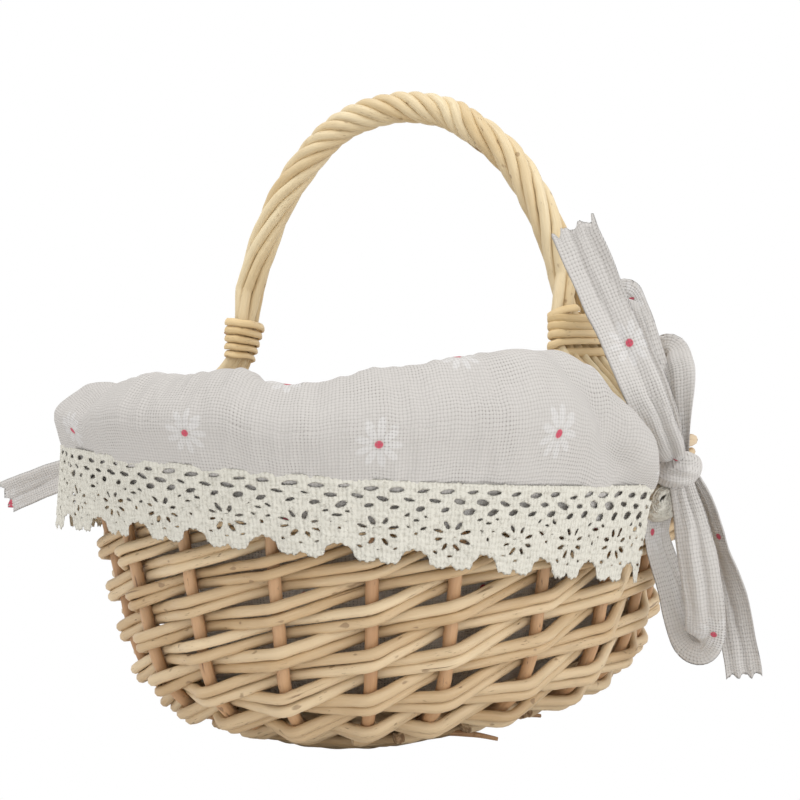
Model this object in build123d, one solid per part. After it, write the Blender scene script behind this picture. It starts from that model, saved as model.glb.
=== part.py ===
from build123d import *
import math
import os

# Flower girl basket, millimetres. Z up, origin on the floor under the middle of the basket.
# X runs through both handle feet (the short way of the oval), Y along the oval, front at -Y.

# Oval plan of the wall, measured on the stake line at mid height
plan_half_length = 103.9
plan_half_width = 79.5
plan_end_radius = 67.9

# Wall seen in section: a flared straight part on a rounded bottom
wall_flare = 12.9
wall_bend_radius = 38.0
wall_bend_top_offset = -1.3
wall_bend_top_height = 33.0
wall_foot_angle = 77.0
stake_top_height = 89.5

# Willow
stake_count = 22
stake_diameter = 3.6
weaver_diameter = 2.9
weave_clearance = 0.15
pair_rise = 6.35
pair_steps = 14
first_pair_length = 5.45
weaver_corner_radius = 8.0
front_relief = 0.75
butt_length = 4.0

# Base
base_stick_diameter = 4.4
base_long_stick_diameter = 2.6
base_weaver_diameter = 2.8
base_ring_spacing = 3.1
base_ring_count = 10
base_long_stick_count = 5
base_long_stick_spacing = 7.0
base_cross_stick_count = 9
base_cross_stick_spacing = 12.0
base_edge_gap = 0.6
base_clearance = 0.1

# Border
border_rod_diameter = 3.5

# Handle
strand_diameter = 3.1
strand_count = 6
strand_circle_radius = 3.65
rope_turns = 5
rope_steps_per_turn = 12
foot_spacing_knee = 4.4
foot_spacing_rim = 5.2
foot_end_height = 62.0
bend_share = 0.42
foot_bend_radius = 12.0
knee_x = 62.0
knee_height = 118.0
binding_rod_diameter = 2.0
binding_turns_near = 5
binding_turns_far = 3
binding_bottom_height = 119.5
binding_clearance = 0.5
binding_turn_gap = 0.12

# Liner, collar and lace
liner_thickness = 1.3
liner_clearance = 0.6
liner_floor_gap = 0.4
liner_bend_angle = 74.0
collar_thickness = 1.5
collar_crest_height = 105.0
collar_bulge = 4.2
collar_hem_spare = 9.0
collar_lean = 0.6
collar_shoulder = 9.0
collar_crest_run = 9.0
collar_radii = [5.0, 6.0, 9.0, 12.0]
collar_split_half_width = 28.0
seam_height = 83.3
seam_slope_x = -0.080
seam_slope_y = -0.008
lace_thickness = 1.0
lace_hem_height = 49.6
lace_hem_slope_x = -0.060
lace_hem_slope_y = 0.1207
lace_gap = 0.2
lace_spare = 12.0

# Bows
ribbon_width = 11.0
ribbon_thickness = 1.6
knot_size = 11.0
knot_depth = 8.0
knot_fillet = 3.0
ribbon_gap = 0.3
near_knot_place = (101.8, -15.5, 80.9)
near_bow_heading = 24.6
far_knot_place = (-100.05, 6.0, 81.0)
far_bow_heading = 197.0
# Each ribbon piece: angle it leaves the knot at, length, how far forwards it lies, and a loop's belly
near_tie_up = (113.0, 70.0, 3.8)
near_loop_up = (88.0, 48.0, -2.2, 3.0)
near_loop_side = (34.0, 34.0, 0.0, 4.0)
near_loop_down = (-88.0, 48.0, 0.0, 4.0)
near_tail_down = (-63.0, 58.0, -6.6)
far_tie_out = (-13.0, 34.77, -5.2)
far_loop_up = (28.0, 28.0, 0.0, 4.0)
far_loop_down = (-48.0, 36.0, 0.0, 4.0)
far_tail_down = (-90.0, 52.0, 3.0)
ribbon_droop = 2.5

plan_end_centre = plan_half_length - plan_end_radius
stake_radius = stake_diameter / 2
weaver_radius = weaver_diameter / 2
weave_offset = stake_radius + weaver_radius + weave_clearance
weave_depth = weave_offset + weaver_radius + weave_clearance
weave_front = weave_depth + front_relief + lace_gap
flare = math.radians(wall_flare)


def side_centre_distance():
    """How far the centre of each long side arc lies beyond the middle of the oval."""
    difference = plan_half_width - plan_end_radius
    return (plan_end_centre**2 - difference**2) / (2 * difference)


side_centre = side_centre_distance()
side_radius = plan_half_width + side_centre
join_angle = math.degrees(math.atan2(plan_end_centre, side_centre))

# The oval's four arcs: centre, radius on the stake line, start angle, swept angle
oval_arcs = [
    ((-side_centre, 0), side_radius, -join_angle, 2 * join_angle),
    ((0, plan_end_centre), plan_end_radius, join_angle, 180 - 2 * join_angle),
    ((side_centre, 0), side_radius, 180 - join_angle, 2 * join_angle),
    ((0, -plan_end_centre), plan_end_radius, 180 + join_angle, 180 - 2 * join_angle),
]


def arc_at(angle):
    """The oval arc whose normals cover this angle."""
    turned = (angle + join_angle) % 360
    for centre, radius, start, sweep in oval_arcs:
        if turned <= start + join_angle + sweep:
            return centre, radius
    return oval_arcs[0][0], oval_arcs[0][1]


def on_oval(angle, offset, height):
    """A point at this normal angle, offset outwards from the stake line's oval."""
    centre, radius = arc_at(angle)
    turned = math.radians(angle)
    reach = radius + offset
    return Vector(centre[0] + reach * math.cos(turned), centre[1] + reach * math.sin(turned), height)


bend_centre_offset = wall_bend_top_offset - wall_bend_radius * math.cos(flare)
bend_centre_height = wall_bend_top_height + wall_bend_radius * math.sin(flare)
bend_length = wall_bend_radius * math.radians(wall_foot_angle - wall_flare)


def wall_section(along, outwards=0.0):
    """Offset and height on the wall's section, measured along it from its foot."""
    if along < bend_length:
        angle = math.radians(wall_foot_angle) - along / wall_bend_radius
        reach = wall_bend_radius + outwards
        return bend_centre_offset + reach * math.cos(angle), bend_centre_height - reach * math.sin(angle)
    rest = along - bend_length
    offset = wall_bend_top_offset + rest * math.sin(flare) + outwards * math.cos(flare)
    return offset, wall_bend_top_height + rest * math.cos(flare) - outwards * math.sin(flare)


def flared_offset(height, outwards=0.0):
    """Offset of the straight part of the wall at this height."""
    rest = (height - wall_bend_top_height) * math.tan(flare)
    return wall_bend_top_offset + rest + outwards / math.cos(flare)


def oval_half_width(offset, y):
    """Half the width of the offset oval at this distance along it."""
    if y > (side_radius + offset) * math.sin(math.radians(join_angle)):
        return math.sqrt((plan_end_radius + offset) ** 2 - (y - plan_end_centre) ** 2)
    return math.sqrt((side_radius + offset) ** 2 - y**2) - side_centre


def section_plane(angle):
    """The upright plane across the wall at this normal angle: X outwards, Y up."""
    centre, _ = arc_at(angle)
    turned = math.radians(angle)
    outward = (math.cos(turned), math.sin(turned), 0)
    across = (math.sin(turned), -math.cos(turned), 0)
    return Plane(origin=(centre[0], centre[1], 0), x_dir=outward, z_dir=across)


def around_oval(make_face_at):
    """Turn a section, made for each arc's radius, round the four arcs of the oval."""
    turned = []
    for centre, radius, start, sweep in oval_arcs:
        outward = math.radians(start)
        plane = Plane(
            origin=(centre[0], centre[1], 0),
            x_dir=(math.cos(outward), math.sin(outward), 0),
            z_dir=(math.sin(outward), -math.cos(outward), 0),
        )
        axis = Axis((centre[0], centre[1], 0), (0, 0, 1))
        turned.append(revolve(plane * make_face_at(radius), axis, revolution_arc=sweep))
    return Part() + turned


def oval_rod(offset, height, diameter):
    """A rod laid round the oval."""
    return around_oval(lambda radius: Pos(radius + offset, height) * Circle(diameter / 2))


def rod_along(points, diameter, radii):
    """A round rod along straight runs joined by tangent arcs."""
    path = FilletPolyline(*points, radius=radii)
    start = Plane(origin=path @ 0, z_dir=path % 0)
    return sweep(start * Circle(diameter / 2), path=path)


def fitted_radii(points, share):
    """For each corner, the largest arc that takes this share of the shorter run beside it."""
    radii = []
    for before, corner, after in zip(points, points[1:], points[2:]):
        turn = math.radians((corner - before).get_angle(after - corner))
        run = min((corner - before).length, (after - corner).length)
        radii.append(share * run / math.tan(turn / 2))
    return radii


def export(name, *solids):
    shape = solids[0] if len(solids) == 1 else Compound(children=list(solids))
    export_step(shape, f"parts/{name}.step")


def stake_angles():
    """Normal angles of the stakes, which stand evenly in the oval's own parameter."""
    angles = []
    for index in range(stake_count):
        turn = 2 * math.pi * index / stake_count
        across = plan_half_width * math.sin(turn)
        along = plan_half_length * math.cos(turn)
        angles.append(math.degrees(math.atan2(across, along)) % 360)
    return angles


angles = stake_angles()


def stake(angle):
    """One upright stake: rounded at the bottom, straight and flared above."""
    centre, radius = arc_at(angle)
    foot = wall_section(0)
    bend = wall_section(bend_length / 2)
    knee = wall_section(bend_length)
    top = (flared_offset(stake_top_height), stake_top_height)
    curve = ThreePointArc((radius + foot[0], foot[1]), (radius + bend[0], bend[1]), (radius + knee[0], knee[1]))
    line = Line((radius + knee[0], knee[1]), (radius + top[0], top[1]))
    path = section_plane(angle) * (curve + line)
    start = Plane(origin=path @ 0, z_dir=path % 0)
    return sweep(start * Circle(stake_radius), path=path)


def weaver(first_stake, lift):
    """One rod of a pair: before one stake, behind the next, higher at each; its butt lies level."""
    points = []
    for step in range(pair_steps + 1):
        angle = angles[(first_stake + step) % stake_count]
        side = weave_offset + front_relief if step % 2 == 0 else -weave_offset
        offset, height = wall_section(first_pair_length + lift + pair_rise * step, side)
        points.append(on_oval(angle, offset, height))
    away = points[0] - points[1]
    butt = Vector(away.X, away.Y, 0).normalized() * butt_length
    points[0] = points[0] + butt
    return rod_along(points, weaver_diameter, [weaver_corner_radius] * (len(points) - 2))


def make_wall():
    export("wall_stakes", *[stake(angle) for angle in angles])
    for index in range(stake_count):
        lower = weaver(index, -pair_rise / 4)
        upper = weaver(index, pair_rise / 4)
        export(f"weaver_pair_{index + 1:02d}", lower, upper)


base_low = base_weaver_diameter / 2
base_middle = base_weaver_diameter + base_stick_diameter / 2 + base_clearance
base_high = base_middle + base_stick_diameter / 2 + base_weaver_diameter / 2 + base_clearance
base_edge_offset = wall_section(0)[0] - base_edge_gap


def make_base():
    """Cross sticks, split for the long sticks, with oval rings woven under and over them."""
    long_half = plan_half_length + base_edge_offset
    long_sticks = []
    for index in range(base_long_stick_count):
        x = (index - (base_long_stick_count - 1) / 2) * base_long_stick_spacing
        stick = Rot(90, 0, 0) * Cylinder(base_long_stick_diameter / 2, 2 * long_half - 4 * base_ring_spacing)
        long_sticks.append(Pos(x, 0, base_middle) * stick)
    cutters = []
    for index in range(base_long_stick_count):
        x = (index - (base_long_stick_count - 1) / 2) * base_long_stick_spacing
        radius = base_long_stick_diameter / 2 + base_clearance
        cutters.append(Pos(x, 0, base_middle) * Rot(90, 0, 0) * Cylinder(radius, 2 * long_half))
    cross_sticks = []
    for index in range(base_cross_stick_count):
        y = (index - (base_cross_stick_count - 1) / 2) * base_cross_stick_spacing
        half = oval_half_width(base_edge_offset, abs(y) + base_stick_diameter / 2)
        stick = Pos(0, y, base_middle) * Rot(0, 90, 0) * Cylinder(base_stick_diameter / 2, 2 * half)
        cross_sticks.append(stick - cutters)
    export("base_long_sticks", *long_sticks)
    export("base_cross_sticks", *cross_sticks)
    rings_below = []
    rings_above = []
    for index in range(base_ring_count):
        offset = base_edge_offset - base_ring_spacing * index - base_weaver_diameter / 2
        rings_below.append(oval_rod(offset, base_low, base_weaver_diameter))
        rings_above.append(oval_rod(offset, base_high, base_weaver_diameter))
    export("base_weave_under", *rings_below)
    export("base_weave_over", *rings_above)


border_offset = stake_radius + border_rod_diameter / 2 + weave_clearance
border_height = stake_top_height - border_rod_diameter / 2


def make_border():
    """Border rods outside and inside the stake ends, and one laid on top."""
    centre = flared_offset(border_height)
    export("border_rod_outer", oval_rod(centre + border_offset, border_height, border_rod_diameter))
    export("border_rod_inner", oval_rod(centre - border_offset, border_height, border_rod_diameter))
    top = stake_top_height + stake_radius * math.sin(flare) + border_rod_diameter / 2 + weave_clearance
    export("border_rod_top", oval_rod(flared_offset(top), top, border_rod_diameter))


# Handle line in the XZ plane, from the near foot's rope end over the top to the far one
handle_points = [
    (58.0, 138.0),
    (52.8, 155.0),
    (45.5, 171.5),
    (33.5, 187.0),
    (14.0, 198.6),
    (-13.0, 199.6),
    (-35.0, 186.5),
    (-49.5, 164.0),
    (-59.0, 138.0),
]
foot_rim_offset = flared_offset(border_height) - border_offset - border_rod_diameter / 2
foot_rim_x = plan_half_width + foot_rim_offset - strand_diameter / 2 - weave_clearance
foot_end_x = plan_half_width + flared_offset(foot_end_height, -weave_depth) - strand_diameter / 2 - weave_clearance


def handle_line():
    points = [Vector(x, 0, z) for x, z in handle_points]
    return FilletPolyline(*points, radius=fitted_radii(points, bend_share))


def foot_points(side, place):
    """The lower points of a rod at one foot: under its binding, at the rim and in the wall."""
    return [
        Vector(side * knee_x, place * foot_spacing_knee, knee_height),
        Vector(side * foot_rim_x, place * foot_spacing_rim, border_height),
        Vector(side * foot_end_x, place * foot_spacing_rim, foot_end_height),
    ]


def handle_rod(middle_points, place_near, place_far):
    """A rod that runs from the wall at the near foot, along the rope, to the wall at the far foot."""
    points = foot_points(1, place_near)[::-1] + middle_points + foot_points(-1, place_far)
    radii = fitted_radii(points, bend_share)
    for corner in (0, 1, -2, -1):
        radii[corner] = min(radii[corner], foot_bend_radius)
    return rod_along(points, strand_diameter, radii)


def rope_strand(index, line):
    """One strand laid round the core."""
    steps = rope_turns * rope_steps_per_turn
    phase = 2 * math.pi * (index + 0.5) / strand_count
    points = []
    for step in range(steps + 1):
        share = step / steps
        turn = phase + 2 * math.pi * rope_turns * share
        tangent = line % share
        outward = Vector(tangent.Z, 0, -tangent.X)
        spoke = outward * math.cos(turn) + Vector(0, 1, 0) * math.sin(turn)
        points.append(line @ share + spoke * strand_circle_radius)
    return points


def make_handle():
    line = handle_line()
    core_points = [Vector(x, 0, z) for x, z in handle_points]
    export("handle_core", handle_rod(core_points, 0, 0))
    strands = [rope_strand(index, line) for index in range(strand_count)]
    near_order = sorted(range(strand_count), key=lambda index: strands[index][0].Y)
    far_order = sorted(range(strand_count), key=lambda index: strands[index][-1].Y)
    places = [-3, -2, -1, 1, 2, 3]
    for index, points in enumerate(strands):
        near_place = places[near_order.index(index)]
        far_place = places[far_order.index(index)]
        export(f"handle_strand_{index + 1}", handle_rod(points, near_place, far_place))


def binding(side, rope_end, turns):
    """A stack of skein turns round the fan of rods above one foot."""
    rings = []
    for turn in range(turns):
        height = binding_bottom_height + (binding_rod_diameter + binding_turn_gap) * turn
        share = (rope_end[1] - height) / (rope_end[1] - knee_height)
        x = side * (abs(rope_end[0]) + (knee_x - abs(rope_end[0])) * share)
        reach = strand_circle_radius + (3 * foot_spacing_knee - strand_circle_radius) * share
        hollow = strand_circle_radius * (1 - share) + strand_diameter / 2 + binding_clearance
        outline = SlotCenterToCenter(2 * reach, 2 * (hollow + binding_rod_diameter), rotation=90)
        opening = SlotCenterToCenter(2 * reach, 2 * hollow, rotation=90)
        band = extrude(outline - opening, amount=binding_rod_diameter)
        rings.append(Pos(x, 0, height) * fillet(band.edges(), binding_rod_diameter * 0.35))
    return rings


def make_bindings():
    export("handle_binding_near", *binding(1, handle_points[0], binding_turns_near))
    export("handle_binding_far", *binding(-1, handle_points[-1], binding_turns_far))


liner_outwards = -(weave_depth + strand_diameter + 2 * weave_clearance + liner_clearance)
liner_floor_height = base_high + base_weaver_diameter / 2 + liner_floor_gap
liner_top_height = border_height - border_rod_diameter / 2


def skin_face(radius, outwards, thickness, top_height, floor_height):
    """Section of a skin inside the wall: a straight foot, the bend and the flare up to a height."""
    sides = []
    for reach in (wall_bend_radius + outwards, wall_bend_radius + outwards - thickness):
        arc = []
        for angle in (liner_bend_angle, (liner_bend_angle + wall_flare) / 2, wall_flare):
            turned = math.radians(angle)
            offset = bend_centre_offset + reach * math.cos(turned)
            arc.append((radius + offset, bend_centre_height - reach * math.sin(turned)))
        top = (radius + flared_offset(top_height, reach - wall_bend_radius), top_height)
        sides.append((arc, top))
    (outer, outer_top), (inner, inner_top) = sides
    low = math.radians(liner_bend_angle)
    run = (outer[0][1] - floor_height) / math.cos(low)
    step = (-run * math.sin(low), -run * math.cos(low))
    outer_foot = (outer[0][0] + step[0], outer[0][1] + step[1])
    inner_foot = (inner[0][0] + step[0], inner[0][1] + step[1])
    edges = [
        Line(outer_foot, outer[0]),
        ThreePointArc(*outer),
        Line(outer[2], outer_top),
        Line(outer_top, inner_top),
        Line(inner_top, inner[2]),
        ThreePointArc(*reversed(inner)),
        Line(inner[0], inner_foot),
        Line(inner_foot, outer_foot),
    ]
    return make_face(edges), outer_foot[0] - radius


def liner_section(radius):
    return skin_face(radius, liner_outwards, liner_thickness, liner_top_height, liner_floor_height)


def make_liner():
    export("liner_wall", around_oval(lambda radius: liner_section(radius)[0]))
    foot_offset = liner_section(plan_end_radius)[1]
    outline = oval_face(foot_offset - liner_thickness - liner_clearance)
    export("liner_floor", Pos(0, 0, liner_floor_height) * extrude(outline, amount=liner_thickness))


def oval_face(offset):
    """The flat oval inside a given offset from the stake line."""
    edges = []
    for centre, radius, start, sweep in oval_arcs:
        edges.append(CenterArc(centre, radius + offset, start, sweep))
    return make_face(edges)


def collar_section(radius):
    """The collar's section as a bent strip of even thickness."""
    inside = radius + flared_offset(liner_top_height, liner_outwards) - liner_thickness / 2
    hem_low = seam_height - collar_hem_spare
    hem = radius + flared_offset(hem_low, weave_front + collar_thickness / 2)
    waist = radius + flared_offset(seam_height, weave_front + collar_thickness / 2)
    points = [
        (inside, liner_top_height + liner_clearance),
        (inside - collar_lean, collar_crest_height - collar_shoulder),
        (inside + collar_crest_run, collar_crest_height - collar_thickness / 2),
        (waist + collar_bulge, collar_crest_height - collar_shoulder),
        (waist, seam_height),
        (hem, hem_low),
    ]
    return trace(FilletPolyline(*points, radius=collar_radii), line_width=collar_thickness)


big = 400.0


def half_space_above(height, slope_x, slope_y):
    """A big block whose lower face is the plane height + slope_x x + slope_y y."""
    normal = Vector(-slope_x, -slope_y, 1)
    plane = Plane(origin=(0, 0, height), z_dir=(normal.X, normal.Y, normal.Z))
    return plane * Pos(0, 0, big / 2) * Box(big, big, big)


def half_of(side):
    """A block that holds one half of the basket, clear of the split at the handle feet."""
    return Pos(0, side * (big / 2 + collar_split_half_width), 0) * Box(big, big, big)


def lace_section(radius):
    """Section of the lace strip, taller than it will be and cut to its slanting edges later."""
    top = seam_height + lace_spare
    low = lace_hem_height - lace_spare
    points = [
        (radius + flared_offset(low, weave_front), low),
        (radius + flared_offset(low, weave_front + lace_thickness), low),
        (radius + flared_offset(top, weave_front + lace_thickness), top),
        (radius + flared_offset(top, weave_front), top),
    ]
    return make_face(Polyline(*points, close=True))


def make_collar_and_lace():
    collar = around_oval(collar_section)
    seam = half_space_above(seam_height, seam_slope_x, seam_slope_y)
    lace = around_oval(lace_section)
    for name, side in (("front", -1), ("back", 1)):
        half = half_of(side)
        export(f"collar_{name}", collar & seam & half)
        hem = half_space_above(lace_hem_height, lace_hem_slope_x, side * lace_hem_slope_y)
        export(f"lace_{name}", (lace - seam) & hem & half)


def bow_plane(place, heading):
    """The upright plane of a bow: X along its heading, Y up, Z towards the front of the bow."""
    turned = math.radians(heading)
    along = (math.cos(turned), math.sin(turned), 0)
    front = (math.sin(turned), -math.cos(turned), 0)
    return Plane(origin=place, x_dir=along, z_dir=front)


def ribbon(plane, angle, points, radii, depth):
    """A flat ribbon that leaves the knot at this angle; its points run along it and forwards."""
    turned = math.radians(angle)
    along = plane.x_dir * math.cos(turned) + plane.y_dir * math.sin(turned)
    across = along.cross(plane.z_dir)
    side = Plane(origin=plane.origin + plane.z_dir * depth, x_dir=along, z_dir=across)
    path = FilletPolyline(*points, radius=radii) if radii else Polyline(*points)
    strip = trace(path, line_width=ribbon_thickness)
    return extrude(side * strip, amount=ribbon_width / 2, both=True)


def bow_loop(plane, angle, length, depth, belly):
    """A loop of ribbon: out from the knot, round a soft fold and back."""
    start = knot_reach(angle)
    mouth = ribbon_thickness / 2 + ribbon_gap
    fold = belly * 0.8
    points = [
        (start, mouth),
        (start + length * 0.55, belly),
        (start + length, fold),
        (start + length, -fold),
        (start + length * 0.55, -belly),
        (start, -mouth),
    ]
    return ribbon(plane, angle, points, [length * 0.3, fold * 0.8, fold * 0.8, length * 0.3], depth)


def bow_tail(plane, angle, length, depth):
    """A loose end of ribbon that curls a little forwards."""
    start = knot_reach(angle)
    points = [(start, 0), (start + length * 0.5, ribbon_droop), (start + length, ribbon_droop * 0.6)]
    return ribbon(plane, angle, points, [length * 0.6], depth)


def knot_reach(angle):
    """Distance from the middle of the knot to its face in this direction, plus the gap."""
    turned = math.radians(angle)
    reach = knot_size / 2 / max(abs(math.cos(turned)), abs(math.sin(turned)))
    return reach + ribbon_gap + ribbon_width / 2 * min(abs(math.tan(turned)), 1 / abs(math.tan(turned)))


def knot(plane):
    return plane * fillet(Box(knot_size, knot_size, knot_depth).edges(), knot_fillet)


def make_bows():
    near = bow_plane(near_knot_place, near_bow_heading)
    export("near_bow_knot", knot(near))
    export("near_bow_tie_up", bow_tail(near, *near_tie_up))
    export("near_bow_loop_up", bow_loop(near, *near_loop_up))
    export("near_bow_loop_side", bow_loop(near, *near_loop_side))
    export("near_bow_loop_down", bow_loop(near, *near_loop_down))
    export("near_bow_tail_down", bow_tail(near, *near_tail_down))
    far = bow_plane(far_knot_place, far_bow_heading)
    export("far_bow_knot", knot(far))
    export("far_bow_tie_out", bow_tail(far, *far_tie_out))
    export("far_bow_loop_up", bow_loop(far, *far_loop_up))
    export("far_bow_loop_down", bow_loop(far, *far_loop_down))
    export("far_bow_tail_down", bow_tail(far, *far_tail_down))


if __name__ == "__main__":
    os.makedirs("parts", exist_ok=True)
    make_wall()
    make_base()
    make_border()
    make_handle()
    make_bindings()
    make_liner()
    make_collar_and_lace()
    make_bows()
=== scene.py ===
import math
import random
import bpy
import bmesh
from mathutils import Matrix, Vector, noise


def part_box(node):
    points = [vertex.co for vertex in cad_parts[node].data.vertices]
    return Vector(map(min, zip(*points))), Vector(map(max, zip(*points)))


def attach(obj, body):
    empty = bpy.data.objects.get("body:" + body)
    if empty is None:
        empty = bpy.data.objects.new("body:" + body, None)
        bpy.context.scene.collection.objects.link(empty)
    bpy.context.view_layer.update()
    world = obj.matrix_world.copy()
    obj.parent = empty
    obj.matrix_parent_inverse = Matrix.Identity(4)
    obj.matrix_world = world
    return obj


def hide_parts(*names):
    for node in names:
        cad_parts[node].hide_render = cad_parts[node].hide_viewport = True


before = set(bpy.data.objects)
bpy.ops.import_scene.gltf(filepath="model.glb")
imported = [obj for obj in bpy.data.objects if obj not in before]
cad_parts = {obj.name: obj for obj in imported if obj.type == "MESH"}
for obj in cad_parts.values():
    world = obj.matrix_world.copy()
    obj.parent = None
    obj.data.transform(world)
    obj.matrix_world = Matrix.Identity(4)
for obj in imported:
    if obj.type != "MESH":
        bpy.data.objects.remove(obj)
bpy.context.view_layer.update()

random.seed(7)
mm = 0.001


# Shader maths: a wire is the value of a socket, a maker adds nodes to one material or world

class Wire:
    def __init__(self, maker, socket):
        self.maker = maker
        self.socket = socket

    def maths(self, operation, first, second=None):
        values = {0: first} if second is None else {0: first, 1: second}
        return self.maker.node("ShaderNodeMath", {"operation": operation}, values)

    def __add__(self, other):
        return self.maths("ADD", self, other)

    def __radd__(self, other):
        return self.maths("ADD", other, self)

    def __sub__(self, other):
        return self.maths("SUBTRACT", self, other)

    def __rsub__(self, other):
        return self.maths("SUBTRACT", other, self)

    def __mul__(self, other):
        return self.maths("MULTIPLY", self, other)

    def __rmul__(self, other):
        return self.maths("MULTIPLY", other, self)

    def __truediv__(self, other):
        return self.maths("DIVIDE", self, other)

    def apply(self, operation, second=None):
        return self.maths(operation, self, second)

    def between(self, low, high):
        settings = {"interpolation_type": "SMOOTHSTEP"}
        values = {"Value": self, "From Min": low, "From Max": high}
        return self.maker.node("ShaderNodeMapRange", settings, values)

    def beside(self, output):
        return Wire(self.maker, self.socket.node.outputs[output])


class Maker:
    def __init__(self, owner):
        owner.use_nodes = True
        self.owner = owner
        self.tree = owner.node_tree
        self.shader = self.tree.nodes.get("Principled BSDF")

    def node(self, kind, settings, values, output=0):
        made = self.tree.nodes.new(kind)
        for key, value in settings.items():
            setattr(made, key, value)
        for key, value in values.items():
            self.feed(made.inputs[key], value)
        return Wire(self, made.outputs[output]) if made.outputs else None

    def feed(self, socket, value):
        if isinstance(value, Wire):
            self.tree.links.new(value.socket, socket)
        elif hasattr(value, "__len__") and len(value) == 3 and socket.type == "RGBA":
            socket.default_value = (*value, 1)
        else:
            socket.default_value = value

    def blend(self, factor, first, second):
        settings = {"data_type": "RGBA", "clamp_factor": True}
        return self.node("ShaderNodeMix", settings, {0: factor, 6: first, 7: second}, 2)

    def noise(self, vector, scale, detail=3.0, rough=0.5):
        stretched = self.node("ShaderNodeMapping", {}, {"Vector": vector, "Scale": scale})
        values = {"Vector": stretched, "Scale": 1.0, "Detail": detail, "Roughness": rough}
        return self.node("ShaderNodeTexNoise", {}, values)

    def attribute(self, name, output):
        return self.node("ShaderNodeAttribute", {"attribute_name": name}, {}, output)

    def split(self, vector):
        first = self.node("ShaderNodeSeparateXYZ", {}, {0: vector})
        return first, first.beside(1)

    def bump(self, height, strength, distance):
        values = {"Height": height, "Strength": strength, "Distance": distance}
        return self.node("ShaderNodeBump", {}, values)

    def finish(self, **sockets):
        for name, value in sockets.items():
            self.feed(self.shader.inputs[name.replace("_", " ")], value)
        return self.owner


# What every piece needs: a mesh from its bmesh, and its place in the frame

def makePiece(name, bm, materials):
    mesh = bpy.data.meshes.new(name)
    bm.to_mesh(mesh)
    bm.free()
    for polygon in mesh.polygons:
        polygon.use_smooth = len(polygon.vertices) < 6  # the cut ends of the rods stay flat
    for material in materials:
        mesh.materials.append(material)
    piece = bpy.data.objects.new(name, mesh)
    bpy.context.collection.objects.link(piece)
    return piece


def carry(piece, nodes):
    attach(piece, "root")
    if nodes:
        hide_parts(*nodes)


def clamp(value, low=0.0, high=1.0):
    return min(max(value, low), high)


def ease(value):
    share = clamp(value)
    return share * share * (3 - 2 * share)


def arch(value):
    return max(0.0, math.sin(math.pi * clamp(value)))


# Camera, lamps, room and floor

camera = {
    "place": (0.1854, -0.4044, 0.09765),
    "turn": 24.62,
    "pitch": 0.51,
    "roll": 0.456,
    "lens": 59.8,
    "near": 0.01,
}
studio = {
    "aim": (0, 0, 0.08),
    "lamps": [("keyLamp", (-0.30, -0.42, 1.20), 0.7, 4.6), ("fillLamp", (0.9, -0.35, 0.55), 0.9, 3.4)],
    "room": 0.88,
    "roomColour": (1, 0.995, 0.985),
    "white": (1, 1, 1),
    "floorColour": (0.93, 0.93, 0.93),
    "floorHalf": 3,
}


def addCamera():
    data = bpy.data.cameras.new("camera")
    data.lens = camera["lens"]
    data.sensor_width = 36
    data.clip_start = camera["near"]
    holder = bpy.data.objects.new("camera", data)
    aim = Matrix.Rotation(math.radians(camera["turn"]), 4, "Z")
    aim = aim @ Matrix.Rotation(math.radians(90 + camera["pitch"]), 4, "X")
    aim = aim @ Matrix.Rotation(math.radians(-camera["roll"]), 4, "Z")
    holder.matrix_world = Matrix.Translation(camera["place"]) @ aim
    bpy.context.collection.objects.link(holder)
    bpy.context.scene.camera = holder


def addLamp(name, place, size, power):
    data = bpy.data.lights.new(name, "AREA")
    data.shape = "DISK"
    data.size = size
    data.energy = power
    holder = bpy.data.objects.new(name, data)
    toward = Vector(studio["aim"]) - Vector(place)
    holder.matrix_world = Matrix.Translation(place) @ toward.to_track_quat("-Z", "Y").to_matrix().to_4x4()
    bpy.context.collection.objects.link(holder)


def addRoom():
    world = bpy.data.worlds.new("studioWorld")
    bpy.context.scene.world = world
    bpy.context.scene.view_settings.view_transform = "Standard"
    made = Maker(world)
    made.tree.nodes.clear()
    straight = made.node("ShaderNodeLightPath", {}, {}, "Is Camera Ray")
    clear = straight.apply("MAXIMUM", straight.beside("Is Glossy Ray"))
    clear = clear.apply("MAXIMUM", straight.beside("Is Transmission Ray"))
    lit = {"Color": studio["roomColour"], "Strength": studio["room"]}
    room = made.node("ShaderNodeBackground", {}, lit)
    white = made.node("ShaderNodeBackground", {}, {"Color": studio["white"], "Strength": 1.0})
    seen = made.node("ShaderNodeMixShader", {}, {0: clear, 1: room, 2: white})
    made.node("ShaderNodeOutputWorld", {}, {0: seen})


def addFloor():
    paper = Maker(bpy.data.materials.new("floorPaper"))
    straight = paper.node("ShaderNodeLightPath", {}, {}, "Is Camera Ray")
    glow = paper.node("ShaderNodeEmission", {}, {"Color": studio["white"]})
    shaded = Wire(paper, paper.shader.outputs[0])
    seen = paper.node("ShaderNodeMixShader", {}, {0: straight, 1: shaded, 2: glow})
    paper.feed(paper.tree.nodes["Material Output"].inputs[0], seen)
    material = paper.finish(Base_Color=studio["floorColour"], Roughness=0.9, Specular_IOR_Level=0.1)
    bm = bmesh.new()
    bmesh.ops.create_grid(bm, x_segments=1, y_segments=1, size=studio["floorHalf"])
    makePiece("floor", bm, [material])


addCamera()
for lamp in studio["lamps"]:
    addLamp(*lamp)
addRoom()
addFloor()
print("camera, lamps and floor are in")


# Willow: long grain, soft patches, small cracks and pits, each rod with a tone of its own

willowMarks = {  # repeats to the metre: along the rod, then across it twice
    "grain": (90, 1500, 1500),
    "patch": (42, 170, 170),
    "streak": (26, 900, 900),
    "fleck": (420, 2600, 2600),
    "scar": (70, 150, 150),
    "knot": (230, 420, 420),
    "pith": (900, 900, 900),
}


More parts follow.
